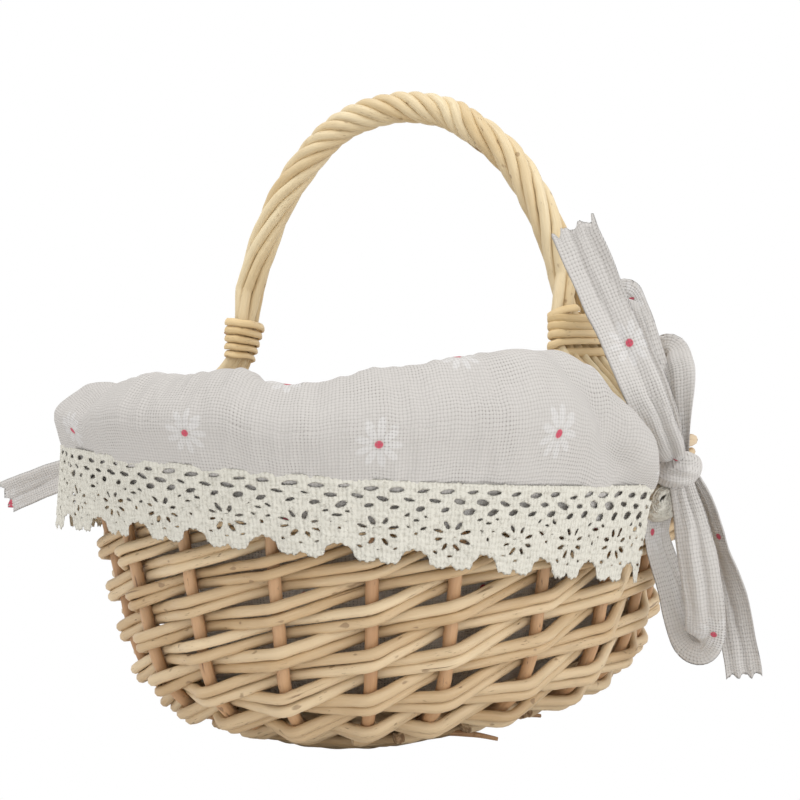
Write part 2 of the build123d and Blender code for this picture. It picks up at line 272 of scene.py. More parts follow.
def willow(name, light, deep, crack, shine=0.5):
    made = Maker(bpy.data.materials.new(name))
    place = made.attribute("rodSpace", "Vector")
    tone = made.attribute("rodTone", "Fac")
    grain = made.noise(place, willowMarks["grain"], 4.0, 0.65)
    patch = made.noise(place, willowMarks["patch"], 3.0, 0.6)
    streak = made.noise(place, willowMarks["streak"], 2.0)
    fleck = made.noise(place, willowMarks["fleck"], 2.0, 0.7)
    scar = made.noise(place, willowMarks["scar"], 1.0)
    knot = made.noise(place, willowMarks["knot"], 1.0)
    body = made.blend(grain * 0.6 + patch * 0.9 - 0.26 + (tone - 0.5) * 0.9, deep, light)
    marks = fleck.between(0.60, 0.74) * scar.between(0.53, 0.64)
    crackLine = streak.between(0.67, 0.71) * scar.between(0.50, 0.60)
    spots = knot.between(0.70, 0.76)
    dusk = patch.between(0.58, 0.80) * 0.34
    flaws = (marks * 0.85 + crackLine * 0.7 + spots * 0.55).apply("MINIMUM", 1.0)
    colour = made.blend(flaws, made.blend(dusk, body, crack), crack)
    height = grain * 0.7 + patch * 0.8 - flaws * 0.8 + streak * 0.4
    normal = made.bump(height, 0.5, 0.00045)
    return made.finish(Base_Color=colour, Roughness=0.62 - grain * 0.3 * shine, Normal=normal)


def cutWood(name, light, ring):
    made = Maker(bpy.data.materials.new(name))
    place = made.attribute("rodSpace", "Vector")
    pith = made.noise(place, willowMarks["pith"])
    return made.finish(Base_Color=made.blend(pith.between(0.35, 0.7), ring, light), Roughness=0.8)


# Linen-look cloth: an open plain weave with uneven threads and a sparse print of small daisies, with
# painted shade between the threads and in the pinholes

# cloth["shade"] is a painted shade colour, blended into the gaps between threads (shadeBetween) and into
# the pinholes
cloth = {
    "pitch": 0.00091,
    "slub": 60,
    "shade": (0.22, 0.20, 0.18),
    "shadeBetween": 0.16,
    "pinholes": 0.80,
}
daisy = {
    "across": 0.0485,
    "rows": 0.0226,
    "petals": 9,
    "petal": 0.0060,
    "petalColour": (0.78, 0.78, 0.79),
    "petalStrength": 0.30,
    "dot": 0.00108,
    "dotColour": (0.56, 0.030, 0.085),
    "dotStrength": 0.92,
}


def daisyPrint(made, across, along, base):
    cellAcross = across / daisy["across"]
    cellAlong = along / daisy["rows"]
    row = (cellAlong + 0.5).apply("FLOOR")
    shift = (row * 0.5).apply("FRACT")
    fromAcross = ((cellAcross + shift).apply("FRACT") - 0.5) * daisy["across"]
    fromAlong = ((cellAlong + 0.5).apply("FRACT") - 0.5) * daisy["rows"]
    reach = (fromAcross * fromAcross + fromAlong * fromAlong).apply("SQRT")
    turn = fromAlong.apply("ARCTAN2", fromAcross)
    petals = (turn * (daisy["petals"] / 2)).apply("COSINE").apply("ABSOLUTE")
    edge = petals.apply("SQRT") * daisy["petal"]
    inside = (edge - reach).between(-0.0004, 0.0006)
    clear = reach.between(0.0012, 0.0022)
    petalled = made.blend(inside * clear * daisy["petalStrength"], base, daisy["petalColour"])
    dot = 1 - reach.between(daisy["dot"] * 0.75, daisy["dot"] * 1.15)
    return made.blend(dot * daisy["dotStrength"], petalled, daisy["dotColour"])


def linen(name, lift, tint):
    made = Maker(bpy.data.materials.new(name))
    uv = made.node("ShaderNodeUVMap", {"uv_map": "cut"}, {})
    across, along = made.split(uv)
    wobble = made.noise(uv, (140, 140, 140), 2.0) - 0.5
    jostle = made.noise(uv, (430, 430, 430), 1.0) - 0.5
    threadX = across / cloth["pitch"] + wobble * 0.6 + jostle * 0.55
    threadY = along / cloth["pitch"] + wobble * 0.6 - jostle * 0.45
    slubX = made.noise(uv, (1 / cloth["pitch"], cloth["slub"], 1), 1.0)
    slubY = made.noise(uv, (cloth["slub"], 1 / cloth["pitch"], 1), 1.0)
    ridgeX = (threadX * math.pi).apply("SINE").apply("ABSOLUTE")
    ridgeY = (threadY * math.pi).apply("SINE").apply("ABSOLUTE")
    wideX = slubX * 1.6 + 0.20
    wideY = slubY * 1.6 + 0.20
    loose = made.noise(uv, (95, 95, 95), 2.0)
    # Painted shade: where the threads part into pinholes the cloth is darkened towards the shade colour,
    # standing in for the dark seen through the holes
    pinholes = 1 - (ridgeX * wideX + ridgeY * wideY + loose * 1.3 - 0.62).between(0.20, 0.62)
    patch = made.noise(uv, (45, 45, 45))
    fibre = made.noise(uv, (1500, 1500, 1500))
    base = made.blend(patch * 0.5 + fibre * 0.25, tint[0], tint[1])
    printed = daisyPrint(made, across + lift[0], along + lift[1], base)
    # Painted shade: the gaps between the crossing threads are darkened towards the shade colour
    threadShade = 1 - (ridgeX * ridgeY).between(0.0, 0.75)
    soft = made.blend(threadShade * cloth["shadeBetween"], printed, cloth["shade"])
    colour = made.blend(pinholes * cloth["pinholes"], soft, cloth["shade"])
    height = ridgeX * wideX * 0.5 + ridgeY * wideY * 0.5 + fibre * 0.12
    normal = made.bump(height, 0.55, 0.00035)
    return made.finish(Base_Color=colour, Roughness=0.92, Normal=normal)


# Crochet cotton: rows of small looped stitches, with painted shade in the low parts between the loops

stitch = {"wide": 0.0011, "tall": 0.0016, "knots": 900.0}


def crochet(name, light, shade):
    made = Maker(bpy.data.materials.new(name))
    uv = made.node("ShaderNodeUVMap", {"uv_map": "cut"}, {})
    bend = made.noise(uv, (300, 300, 300), 2.0)
    across, along = made.split(uv)
    loopX = ((across / stitch["wide"] + bend * 1.2) * math.pi).apply("SINE").apply("ABSOLUTE")
    loopY = ((along / stitch["tall"] + bend * 1.6) * math.pi).apply("SINE").apply("ABSOLUTE")
    cells = made.node("ShaderNodeTexVoronoi", {"feature": "F1"}, {"Vector": uv, "Scale": stitch["knots"]})
    fibre = made.noise(uv, (2600, 2600, 2600))
    height = loopX * 0.35 + loopY * 0.3 + cells * 0.6 + fibre * 0.25
    dirt = made.noise(uv, (120, 120, 120))
    # Painted shade: the low parts of the stitch height are darkened towards the shade colour; the dirt
    # noise adds a real, random tone
    low = 1 - height.between(0.35, 0.95)
    colour = made.blend(low * 0.50 + dirt * 0.14, light, shade)
    normal = made.bump(height, 0.8, 0.0006)
    return made.finish(Base_Color=colour, Roughness=0.9, Normal=normal)


wallWillow = willow("wallWillow", (0.72, 0.57, 0.37), (0.50, 0.34, 0.18), (0.17, 0.09, 0.04))
stakeWillow = willow("stakeWillow", (0.63, 0.40, 0.22), (0.40, 0.21, 0.10), (0.13, 0.06, 0.03))
handleWillow = willow("handleWillow", (0.80, 0.68, 0.455), (0.56, 0.39, 0.18), (0.24, 0.13, 0.05), 0.8)
skeinWillow = willow("skeinWillow", (0.82, 0.63, 0.36), (0.60, 0.42, 0.19), (0.18, 0.10, 0.04), 0.8)
cutEnd = cutWood("cutEnd", (0.60, 0.44, 0.27), (0.26, 0.16, 0.09))
printedLinen = linen("printedLinen", (0.02585, -0.0114), ((0.585, 0.562, 0.538), (0.49, 0.466, 0.445)))
ribbonLinen = linen("ribbonLinen", (0.0255, 0.0), ((0.62, 0.598, 0.575), (0.54, 0.516, 0.493)))
# The liner is the same linen as the collar, tinted lighter and warmer: painted light, making up for the
# shade of the weave and standing in for the warm light the willow bounces onto it
linerLinenPaintedWarmLight = linen("linerLinenPaintedWarmLight", (0.0255, 0.0), ((0.74, 0.67, 0.59), (0.64, 0.565, 0.48)))
willowOf = {
    "wall_willow": wallWillow,
    "stake_willow": stakeWillow,
    "handle_willow": handleWillow,
    "binding_skein": skeinWillow,
}
# The lace's second colour is the painted shade for the low parts of the stitches, mixed with a random dirt
# tone
laceCotton = crochet("laceCotton", (0.70, 0.678, 0.605), (0.46, 0.43, 0.36))
print("materials are ready")


# The oval and the wall's section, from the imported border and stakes; the foot is tucked in a little

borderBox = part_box("border_rod_outer")
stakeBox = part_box("wall_stakes")
wall = {
    "endCentre": 0.036,
    "flare": math.radians(12.9),
    "bendRadius": 0.038,
    "bendTopOffset": -0.0013,
    "bendTopHeight": 0.033,
    "footAngle": math.radians(77),
    "borderReach": 0.00545,
    "tuck": 0.0036,
    "tuckEnd": 0.030,
}
borderHeight = (borderBox[0].z + borderBox[1].z) / 2


def flaredOffset(height):
    return wall["bendTopOffset"] + (height - wall["bendTopHeight"]) * math.tan(wall["flare"])


halfWidth = borderBox[1].x - wall["borderReach"] - flaredOffset(borderHeight)
halfLength = borderBox[1].y - wall["borderReach"] - flaredOffset(borderHeight)
endRadius = halfLength - wall["endCentre"]
sideCentre = (wall["endCentre"] ** 2 - (halfWidth - endRadius) ** 2) / (2 * (halfWidth - endRadius))
sideRadius = halfWidth + sideCentre
joinAngle = math.atan2(wall["endCentre"], sideCentre)
bendCentre = (
    wall["bendTopOffset"] - wall["bendRadius"] * math.cos(wall["flare"]),
    wall["bendTopHeight"] + wall["bendRadius"] * math.sin(wall["flare"]),
)
bendLength = wall["bendRadius"] * (wall["footAngle"] - wall["flare"])


def onOval(angle, offset, height):
    turned = (angle + joinAngle) % (2 * math.pi) - joinAngle
    if turned < joinAngle:
        centre, radius = (-sideCentre, 0), sideRadius
    elif turned < math.pi - joinAngle:
        centre, radius = (0, wall["endCentre"]), endRadius
    elif turned < math.pi + joinAngle:
        centre, radius = (sideCentre, 0), sideRadius
    else:
        centre, radius = (0, -wall["endCentre"]), endRadius
    reach = radius + offset
    return Vector((centre[0] + reach * math.cos(angle), centre[1] + reach * math.sin(angle), height))


def wallSection(along, outwards=0.0):
    if along < bendLength:
        angle = wall["footAngle"] - along / wall["bendRadius"]
        reach = wall["bendRadius"] + outwards
        return bendCentre[0] + reach * math.cos(angle), bendCentre[1] - reach * math.sin(angle)
    rest = along - bendLength
    sine, cosine = math.sin(wall["flare"]), math.cos(wall["flare"])
    offset = wall["bendTopOffset"] + rest * sine + outwards * cosine
    return offset, wall["bendTopHeight"] + rest * cosine - outwards * sine


def wallPoint(angle, along, outwards=0.0):
    tuck = wall["tuck"] * (1 - ease(along / wall["tuckEnd"]))
    offset, height = wallSection(along, outwards - tuck)
    return onOval(angle, offset, height)


# Rods: a ring of points is carried along a line and keeps its own space for the grain

rodShape = {"knobs": 0.10, "knobScale": 260, "start": (0.13, 0.21, 1)}


def growRod(path, radii, tone, seed, sides=9, thin=1.0):
    bm = bmesh.new()
    space = bm.verts.layers.float_vector.new("rodSpace")
    toneLayer = bm.verts.layers.float.new("rodTone")
    ring = bmesh.ops.create_circle(bm, segments=sides, radius=1.0)["verts"]
    edges = list(bm.edges)
    up = Vector(rodShape["start"]).normalized()
    poseBefore = Matrix.Identity(4)
    length = 0.0
    last = len(path) - 1
    spots = []
    for index, middle in enumerate(path):
        tangent = (path[min(index + 1, last)] - path[max(index - 1, 0)]).normalized()
        side = tangent.cross(up)
        if side.length < 0.05:
            side = tangent.cross(Vector((1, 0.2, 0)))
        side.normalize()
        up = side.cross(tangent).normalized()
        radius = radii(index / last)
        if index:
            length += (middle - path[index - 1]).length
            grown = bmesh.ops.extrude_edge_only(bm, edges=edges)["geom"]
            ring = [item for item in grown if isinstance(item, bmesh.types.BMVert)]
            edges = [item for item in grown if isinstance(item, bmesh.types.BMEdge)]
            edges = [edge for edge in edges if edge.verts[0] in ring and edge.verts[1] in ring]
        axes = Matrix((side * radius * thin, up * radius, tangent)).transposed().to_4x4()
        pose = Matrix.Translation(middle) @ axes
        bmesh.ops.transform(bm, matrix=pose @ poseBefore.inverted(), verts=ring)
        poseBefore = pose
        for vert in ring:
            out = vert.co - middle
            vert[space] = Vector((length + seed * 0.37, out.dot(side) + seed * 0.011, out.dot(up)))
            vert[toneLayer] = tone
            spots.append((vert, out))
    caps = bmesh.ops.holes_fill(bm, edges=[edge for edge in bm.edges if edge.is_boundary], sides=0)
    for face in caps["faces"]:
        face.material_index = 1
    for vert, out in spots:
        vert.co += out * rodShape["knobs"] * noise.noise(Vector(vert[space]) * rodShape["knobScale"])
    bmesh.ops.recalc_face_normals(bm, faces=bm.faces)
    return bm


def gather(name, parts, slotName, nodes=()):
    whole = bmesh.new()
    for part in parts:
        mesh = bpy.data.meshes.new("part")
        part.to_mesh(mesh)
        part.free()
        whole.from_mesh(mesh)
        bpy.data.meshes.remove(mesh)
    carry(makePiece(name, whole, (willowOf[slotName], cutEnd)), nodes)


def smoothLine(points, steps):
    path = []
    for index in range(len(points) - 1):
        before = points[max(index - 1, 0)]
        first = points[index]
        second = points[index + 1]
        after = points[min(index + 2, len(points) - 1)]
        for step in range(steps):
            t = step / steps
            bend = (second - before) * (t - 2 * t * t + t ** 3) * 0.5
            bend += (after - first) * (t ** 3 - t * t) * 0.5
            path.append(first * (1 - 3 * t * t + 2 * t ** 3) + second * (3 * t * t - 2 * t ** 3) + bend)
    path.append(points[-1])
    return path


def soften(points, rounds=3):
    for _ in range(rounds):
        smoothed = [points[0]]
        for first, second in zip(points, points[1:]):
            smoothed.append(first * 0.75 + second * 0.25)
            smoothed.append(first * 0.25 + second * 0.75)
        smoothed.append(points[-1])
        points = smoothed
    return points


# Wall: stakes and pairs of weavers

weave = {
    "stakes": 22,
    "stakeRadius": 0.00185,
    "stakeLean": 0.006,
    "stakeSway": 0.004,
    "stakeDrift": 0.0003,
    "weaverButt": 0.00172,
    "weaverTip": 0.00138,
    "offset": 0.00345,
    "relief": 0.0006,
    "rise": 0.006275,
    "first": 0.0065,
    "steps": 14,
    "buttShare": 0.6,
    "buttLength": (0.0030, 0.0050),
    "drift": 0.0006,
    "spread": 0.010,
    "bend": 0.0062,
    "sway": 0.00028,
}


def stakeAngles():
    angles = []
    for index in range(weave["stakes"]):
        turn = 2 * math.pi * index / weave["stakes"]
        angle = math.atan2(halfWidth * math.sin(turn), halfLength * math.cos(turn))
        angles.append(angle % (2 * math.pi))
    return angles


stakePlaces = stakeAngles()


def stakeRod(index, angle):
    top = bendLength + (stakeBox[1].z - wall["bendTopHeight"]) / math.cos(wall["flare"])
    lean = random.uniform(-weave["stakeLean"], weave["stakeLean"])
    path = []
    for step in range(45):
        share = step / 44
        sway = lean * math.sin(math.pi * share)
        sway += weave["stakeSway"] * noise.noise(Vector((index, share * 3, 2)))
        out = weave["stakeDrift"] * noise.noise(Vector((index, share * 4, 7)))
        path.append(wallPoint(angle + sway, top * share, out))
    size = weave["stakeRadius"] * random.uniform(0.94, 1.08)
    return growRod(path, lambda share: size * (1 - 0.08 * share), random.uniform(0.25, 0.75), index + 50)


def angleAt(step):
    low = math.floor(step)
    first = stakePlaces[low % weave["stakes"]]
    second = stakePlaces[(low + 1) % weave["stakes"]]
    if second < first:
        second += 2 * math.pi
    return first + (second - first) * (step - low)


def weaverRod(start, lift, seed):
    swing = random.uniform(0.92, 1.06)
    keys = []
    for step in range(weave["steps"] + 1):
        drift = weave["drift"] * noise.noise(Vector((seed * 3.1, step * 0.9, 1.7)))
        along = weave["first"] + lift + weave["rise"] * step + drift
        side = weave["offset"] * swing + weave["relief"] if step % 2 == 0 else -weave["offset"] * swing
        side *= weave["buttShare"] if step == 0 else 1  # the butt lies closer to its stake
        spread = weave["spread"] * noise.noise(Vector((seed * 2.3, step * 1.1, 4.4)))
        keys.append(wallPoint(angleAt(start + step) + spread, along, side))
    away = keys[0] - keys[1]
    butt = Vector((away.x, away.y, 0)).normalized() * random.uniform(*weave["buttLength"])
    keys.insert(0, keys[0] + butt)
    bent = [keys[0]]
    for before, corner, after in zip(keys, keys[1:], keys[2:]):
        bent.append(corner.lerp(before, min(0.5, weave["bend"] / (corner - before).length)))
        bent.append(corner)
        bent.append(corner.lerp(after, min(0.5, weave["bend"] / (corner - after).length)))
    bent.append(keys[-1])
    path = []
    for index, place in enumerate(soften(bent, 2)):
        sway = Vector([noise.noise(Vector((seed * 1.7, index * 0.21, axis))) for axis in (1.1, 4.3, 7.9)])
        path.append(place + sway * weave["sway"])
    size = random.uniform(0.93, 1.07)
    thick = weave["weaverButt"] * size
    thin = weave["weaverTip"] * size
    return growRod(path, lambda share: thick + (thin - thick) * share, random.uniform(0.1, 0.95), seed)


def makeStakes():
    rods = [stakeRod(index, angle) for index, angle in enumerate(stakePlaces)]
    gather("wallStakes", rods, "stake_willow", ["wall_stakes"])


def makeWeavers():
    for index in range(weave["stakes"]):
        low = weaverRod(index, -weave["rise"] / 4, index * 2 + 1)
        high = weaverRod(index, weave["rise"] / 4, index * 2 + 2)
        node = f"weaver_pair_{index + 1:02d}"
        gather(f"weaverPair{index + 1:02d}", [low, high], "wall_willow", [node])


makeStakes()
makeWeavers()
print("wall is woven")


# Border: the rods rolled along the rim, seen where the collar parts at the handle feet

border = {"radius": 0.00178, "sway": 0.0004, "apart": 0.0037}


def rimRod(name, node, offset, height, seed):
    path = []
    for step in range(241):
        angle = 2 * math.pi * step / 240
        sway = border["sway"] * noise.noise(Vector((math.cos(angle) * 3, math.sin(angle) * 3, seed)))
        path.append(onOval(angle, flaredOffset(height) + offset + sway, height + sway))
    rod = growRod(path, lambda share: border["radius"], 0.5 + 0.1 * seed, seed + 80)
    gather(name, [rod], "wall_willow", [node])


def makeBorder():
    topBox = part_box("border_rod_top")
    topHeight = (topBox[0].z + topBox[1].z) / 2
    rimRod("borderRodOuter", "border_rod_outer", border["apart"], borderHeight, 1)
    rimRod("borderRodInner", "border_rod_inner", -border["apart"], borderHeight, 2)
    rimRod("borderRodTop", "border_rod_top", 0.0, topHeight, 3)


# Base: cross sticks, long sticks and the rings woven under and over them; the rim lies a little higher

base = {
    "edge": -0.0304,
    "ring": 0.0031,
    "rings": 10,
    "ringRadius": 0.0014,
    "levels": (0.0015, 0.0051, 0.0088),
    "rim": (0.0125, 0.0036),
    "crossRadius": 0.0021,
    "crossApart": 0.012,
    "longRadius": 0.0013,
    "longApart": 0.007,
    "stickSway": 0.0003,
    "ringWave": 0.0002,
}


def rimLift(fromEdge):
    width, lift = base["rim"]
    return lift * ease(1 - fromEdge / width)


def baseStick(place, reach, across, radius, seed):
    path = []
    for step in range(25):
        run = reach * (2 * step / 24 - 1)
        sway = base["stickSway"] * noise.noise(Vector((seed, step * 0.3, 4)))
        spot = (run, place + sway) if across else (place + sway, run)
        out = math.hypot(spot[0] / (halfWidth + base["edge"]), spot[1] / (halfLength + base["edge"]))
        path.append(Vector((*spot, base["levels"][1] + rimLift((1 - out) * 0.055))))
    return growRod(path, lambda share: radius, random.uniform(0.2, 0.7), seed)


def baseRings(level, side):
    rods = []
    for index in range(base["rings"]):
        offset = base["edge"] - base["ring"] * index - base["ringRadius"]
        path = []
        for step in range(121):
            angle = 2 * math.pi * (step + index * 7) / 120
            lift = base["ringWave"] * math.sin(angle * 18 + index * math.pi)
            path.append(onOval(angle, offset, level + lift * side + rimLift(base["edge"] - offset)))
        rods.append(growRod(path, lambda share: base["ringRadius"], random.uniform(0.1, 0.8), index + 120))
    return rods


def makeBase():
    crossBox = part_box("base_cross_sticks")
    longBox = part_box("base_long_sticks")
    cross = []
    for index in range(-4, 5):
        y = index * base["crossApart"]
        reach = crossBox[1].x * math.sqrt(1 - (abs(y) / (crossBox[1].y * 1.55)) ** 2)
        cross.append(baseStick(y, reach, True, base["crossRadius"], index + 140))
    gather("baseCrossSticks", cross, "stake_willow", ["base_cross_sticks"])
    along = []
    for index in range(-2, 3):
        place = index * base["longApart"]
        along.append(baseStick(place, longBox[1].y, False, base["longRadius"], index + 150))
    gather("baseLongSticks", along, "stake_willow", ["base_long_sticks"])
    under = baseRings(base["levels"][0], 1)
    gather("baseWeaveUnder", under, "wall_willow", ["base_weave_under"])
    over = baseRings(base["levels"][2], -1)
    gather("baseWeaveOver", over, "wall_willow", ["base_weave_over"])


# Loose tips: two broken ends beside the base, and the end of the skein at the far foot

looseEnds = [
    (0.0011, [(0.036, -0.046, 0.0042), (0.043, -0.042, 0.0032), (0.0485, -0.039, 0.0018)]),
    (0.0011, [(0.040, -0.016, 0.0042), (0.046, -0.011, 0.0030), (0.0505, -0.006, 0.0018)]),
    (0.0009, [(-0.060, 0.002, 0.119), (-0.064, 0.001, 0.1235), (-0.0685, 0.0, 0.1265)]),
]


def looseTip(radius, places, seed):
    path = smoothLine([Vector(place) for place in places], 12)
    return growRod(path, lambda share: radius * (1 - 0.5 * share), 0.4, seed, sides=7)


def makeLooseTips():
    tips = [looseTip(*end, 161 + index) for index, end in enumerate(looseEnds)]
    gather("looseTips", tips, "stake_willow")


# Handle: six rods laid round a core, spread and bound at each foot, and pushed down inside the rim

handle = {
    "line": [
        (0.0580, 0.1380), (0.0552, 0.1490), (0.0526, 0.1565), (0.0472, 0.1678), (0.0392, 0.1800),
        (0.0265, 0.1908), (0.0170, 0.1964), (0.0030, 0.1996), (-0.0120, 0.1984), (-0.0237, 0.1937),
        (-0.0333, 0.1857), (-0.0431, 0.1741), (-0.0500, 0.1617), (-0.0545, 0.1512), (-0.0590, 0.1380),
    ],
    "strands": 6,
    "circle": 0.00352,
    "radius": 0.00172,
    "coreRadius": 0.00165,
    "turns": 3.3,
    "endLay": 0.115,
    "uneven": 0.06,
    "trim": 4,
    "knee": {1: (0.0638, 0.118), -1: (0.062, 0.118)},
    "kneeSpacing": {1: 0.0046, -1: 0.0026},
    "kneeTurn": {1: 17, -1: 12},
    "rimSpacing": 0.0047,
    "shoulder": 0.1035,
    "rimClearance": 0.0075,
    "footHeight": 0.062,
}


def footX(height, clearance):
    return halfWidth + flaredOffset(height) - clearance


def footPoints(side, place):
    top = footX(borderHeight, handle["rimClearance"])
    foot = footX(handle["footHeight"], handle["rimClearance"])
    knee = handle["kneeSpacing"][side]
    kneeX, kneeZ = handle["knee"][side]
    middle = (knee + handle["rimSpacing"]) / 2
    turn = math.radians(handle["kneeTurn"][side])
    out = kneeX + place * knee * math.sin(turn)
    return [
        Vector((side * out, place * knee * math.cos(turn), kneeZ)),
        Vector((side * (out + (top - out) * 0.55), place * middle, handle["shoulder"])),
        Vector((side * top, place * handle["rimSpacing"], borderHeight)),
        Vector((side * foot, place * handle["rimSpacing"], handle["footHeight"])),
    ]


def strandPoints(index, line):
    points = []
    count = len(line) - 1
    for step, middle in enumerate(line):
        share = step / count
        laid = share - handle["endLay"] * math.sin(2 * math.pi * share)
        turn = 2 * math.pi * ((index + 0.5) / handle["strands"] + handle["turns"] * laid)
        tangent = (line[min(step + 1, count)] - line[max(step - 1, 0)]).normalized()
        outward = Vector((tangent.z, 0, -tangent.x))
        uneven = handle["uneven"] * noise.noise(Vector((index * 2.3, share * 9, 1)))
        reach = handle["circle"] * (1 + uneven)
        points.append(middle + (outward * math.cos(turn) + Vector((0, 1, 0)) * math.sin(turn)) * reach)
    return points


def makeHandle():
    line = smoothLine([Vector((x, 0, z)) for x, z in handle["line"]], 14)
    strands = [strandPoints(index, line) for index in range(handle["strands"])]
    places = [-3, -2, -1, 1, 2, 3]
    trim = handle["trim"]
    nearOrder = sorted(range(handle["strands"]), key=lambda index: strands[index][0].y)
    farOrder = sorted(range(handle["strands"]), key=lambda index: strands[index][-1].y)
    for index, middle in enumerate(strands):
        near = smoothLine(footPoints(1, places[nearOrder.index(index)])[::-1] + [middle[trim]], 12)
        far = smoothLine([middle[-trim - 1]] + footPoints(-1, places[farOrder.index(index)]), 12)
        path = near[:-1] + middle[trim:-trim] + far[1:]
        size = handle["radius"] * random.uniform(0.96, 1.06)
        rod = growRod(path, lambda share: size, random.uniform(0.25, 0.8), index + 170, sides=12)
        node = f"handle_strand_{index + 1}"
        gather(f"handleStrand{index + 1}", [rod], "handle_willow", [node])
    ends = footPoints(1, 0)[::-1] + [line[0]]
    path = smoothLine(ends, 12)[:-1] + line + smoothLine([line[-1]] + footPoints(-1, 0), 12)[1:]
    rod = growRod(path, lambda share: handle["coreRadius"], 0.5, 180, sides=10)
    gather("handleCore", [rod], "handle_willow", ["handle_core"])


# Bindings: flat skein wound round each fan of rods; at the near foot one turn crosses the others

binding = {
    "bottom": 0.1142,
    "pitch": 0.0029,
    "wide": 0.00142,
    "thin": 0.00062,
    "clear": 0.0004,
    "bulge": 0.0006,
    "steps": 44,
    "overlap": 1.02,
    "wander": 0.00035,
    "nearStart": 2.4,
    "nearTurns": [(0.0, 0.0005), (0.0028, 0.0007), (0.0056, 0.0003), (0.0083, 0.0002), (0.0109, 0.0003)],
    "cross": (0.1266, 0.0030),
    "crossTurn": (-2.2, 1.7),
    "farBottom": 0.1165,
    "farPitch": 0.0027,
    "farTurns": 5,
    "farStart": 0.7,
    "farTilt": 0.0002,
    "farSize": (0.00136, 0.00070),
}


def fanOutline(side, height, turn):
    topX, topZ = handle["line"][0]
    kneeX, kneeZ = handle["knee"][side]
    share = clamp((topZ - height) / (topZ - kneeZ), -0.3, 1.25)
    centre = topX + (kneeX - topX) * share
    reach = handle["circle"] + (3 * handle["kneeSpacing"][side] - handle["circle"]) * max(share, 0)
    hollow = handle["circle"] * (1 - max(share, 0)) + handle["radius"] + binding["clear"] + binding["thin"]
    flat = Vector((math.cos(turn), math.sin(turn)))
    bulge = abs(flat.x) ** 3 * binding["bulge"] if abs(flat.y) < 0.98 else 0.0
    x = centre + flat.x * (hollow + bulge)
    y = reach * clamp(flat.y * 1.25, -1, 1) + flat.y * hollow
    spin = math.radians(handle["kneeTurn"][side]) * max(share, 0)
    return Vector((side * (x + y * math.sin(spin)), y * math.cos(spin), height))


def skeinPath(side, begin, start, tilt, seed):
    path = []
    for step in range(int(binding["steps"] * binding["overlap"]) + 1):
        share = step / binding["steps"]
        turn = start + 2 * math.pi * share
        height = begin + binding["pitch"] * share + tilt * math.sin(turn + seed)
        height += binding["wander"] * noise.noise(Vector((seed, turn * 1.1, 3)))
        path.append(fanOutline(side, height, turn))
    return path


def growBand(path, size, tone, seed):
    wide, thin = size
    return growRod(path, lambda share: wide, tone, seed, sides=12, thin=thin / wide)


def makeBindings():
    size = (binding["wide"], binding["thin"])
    near = []
    for index, (lift, tilt) in enumerate(binding["nearTurns"]):
        path = skeinPath(1, binding["bottom"] + lift, binding["nearStart"], tilt, index * 1.3)
        near.append(growBand(path, size, random.uniform(0.35, 0.75), index + 190))
    low, rise = binding["cross"]
    turn, more = binding["crossTurn"]
    cross = [fanOutline(1, low + rise * step / 20, turn + more * step / 20) for step in range(21)]
    near.append(growBand(cross, size, 0.6, 199))
    gather("handleBindingNear", near, "binding_skein", ["handle_binding_near"])
    far = []
    for index in range(binding["farTurns"]):
        bottom = binding["farBottom"] + index * binding["farPitch"]
        path = skeinPath(-1, bottom, binding["farStart"], binding["farTilt"], index + 5.0)
        far.append(growBand(path, binding["farSize"], random.uniform(0.35, 0.75), index + 205))
    gather("handleBindingFar", far, "binding_skein", ["handle_binding_far"])


makeBorder()
makeBase()
makeLooseTips()
makeHandle()
makeBindings()
print("border, base and handle are in")


# Cloth: a grid of threads is laid out flat, then carried to its place

def layCloth(name, threads, placeAt, cutAt, thickness, material):
    bm = bmesh.new()
    bmesh.ops.create_grid(bm, x_segments=threads[0], y_segments=threads[1], size=0.5)
    uvLayer = bm.loops.layers.uv.new("cut")
    cuts = {}
    for vert in bm.verts:
        u = clamp(vert.co.x + 0.5)
        v = clamp(vert.co.y + 0.5)
        cuts[vert] = cutAt(u, v)
        vert.co = placeAt(u, v)
    for face in bm.faces:
        for loop in face.loops:
            loop[uvLayer].uv = cuts[loop.vert]
    bmesh.ops.solidify(bm, geom=bm.faces[:], thickness=thickness)
    bmesh.ops.recalc_face_normals(bm, faces=bm.faces)
    return makePiece(name, bm, [material])


def around(angle, reach, height):
    return Vector((math.cos(angle) * reach, math.sin(angle) * reach, height))


def blendAt(table, place):
    if place <= table[0][0]:
        return table[0][1]
    for (first, low), (second, high) in zip(table, table[1:]):
        if place <= second:
            return low + (high - low) * ease((place - first) / (second - first))
    return table[-1][1]


def runsOf(points):
    runs = [0.0]
    for first, second in zip(points, points[1:]):
        runs.append(runs[-1] + (second - first).length)
    return runs


def spreadAngles(start, end, count, offset, checks=400):
    rough = [start + (end - start) * index / checks for index in range(checks + 1)]
    runs = runsOf([onOval(angle, offset, 0) for angle in rough])
    angles = []
    index = 0
    for step in range(count + 1):
        goal = runs[-1] * step / count
        while index < checks - 1 and runs[index + 1] < goal:
            index += 1
        share = (goal - runs[index]) / (runs[index + 1] - runs[index])
        angles.append(rough[index] + (rough[index + 1] - rough[index]) * share)
    return angles, runs[-1]


def pick(values, share):
    place = share * (len(values) - 1)
    low = min(int(place), len(values) - 2)
    return values[low] + (values[low + 1] - values[low]) * (place - low)


def alongLine(points, share):
    runs = runsOf(points)
    goal = runs[-1] * share
    for index in range(len(points) - 1):
        if goal <= runs[index + 1] or index == len(points) - 2:
            part = (goal - runs[index]) / max(runs[index + 1] - runs[index], 1e-9)
            return points[index] + (points[index + 1] - points[index]) * part
    return points[-1]


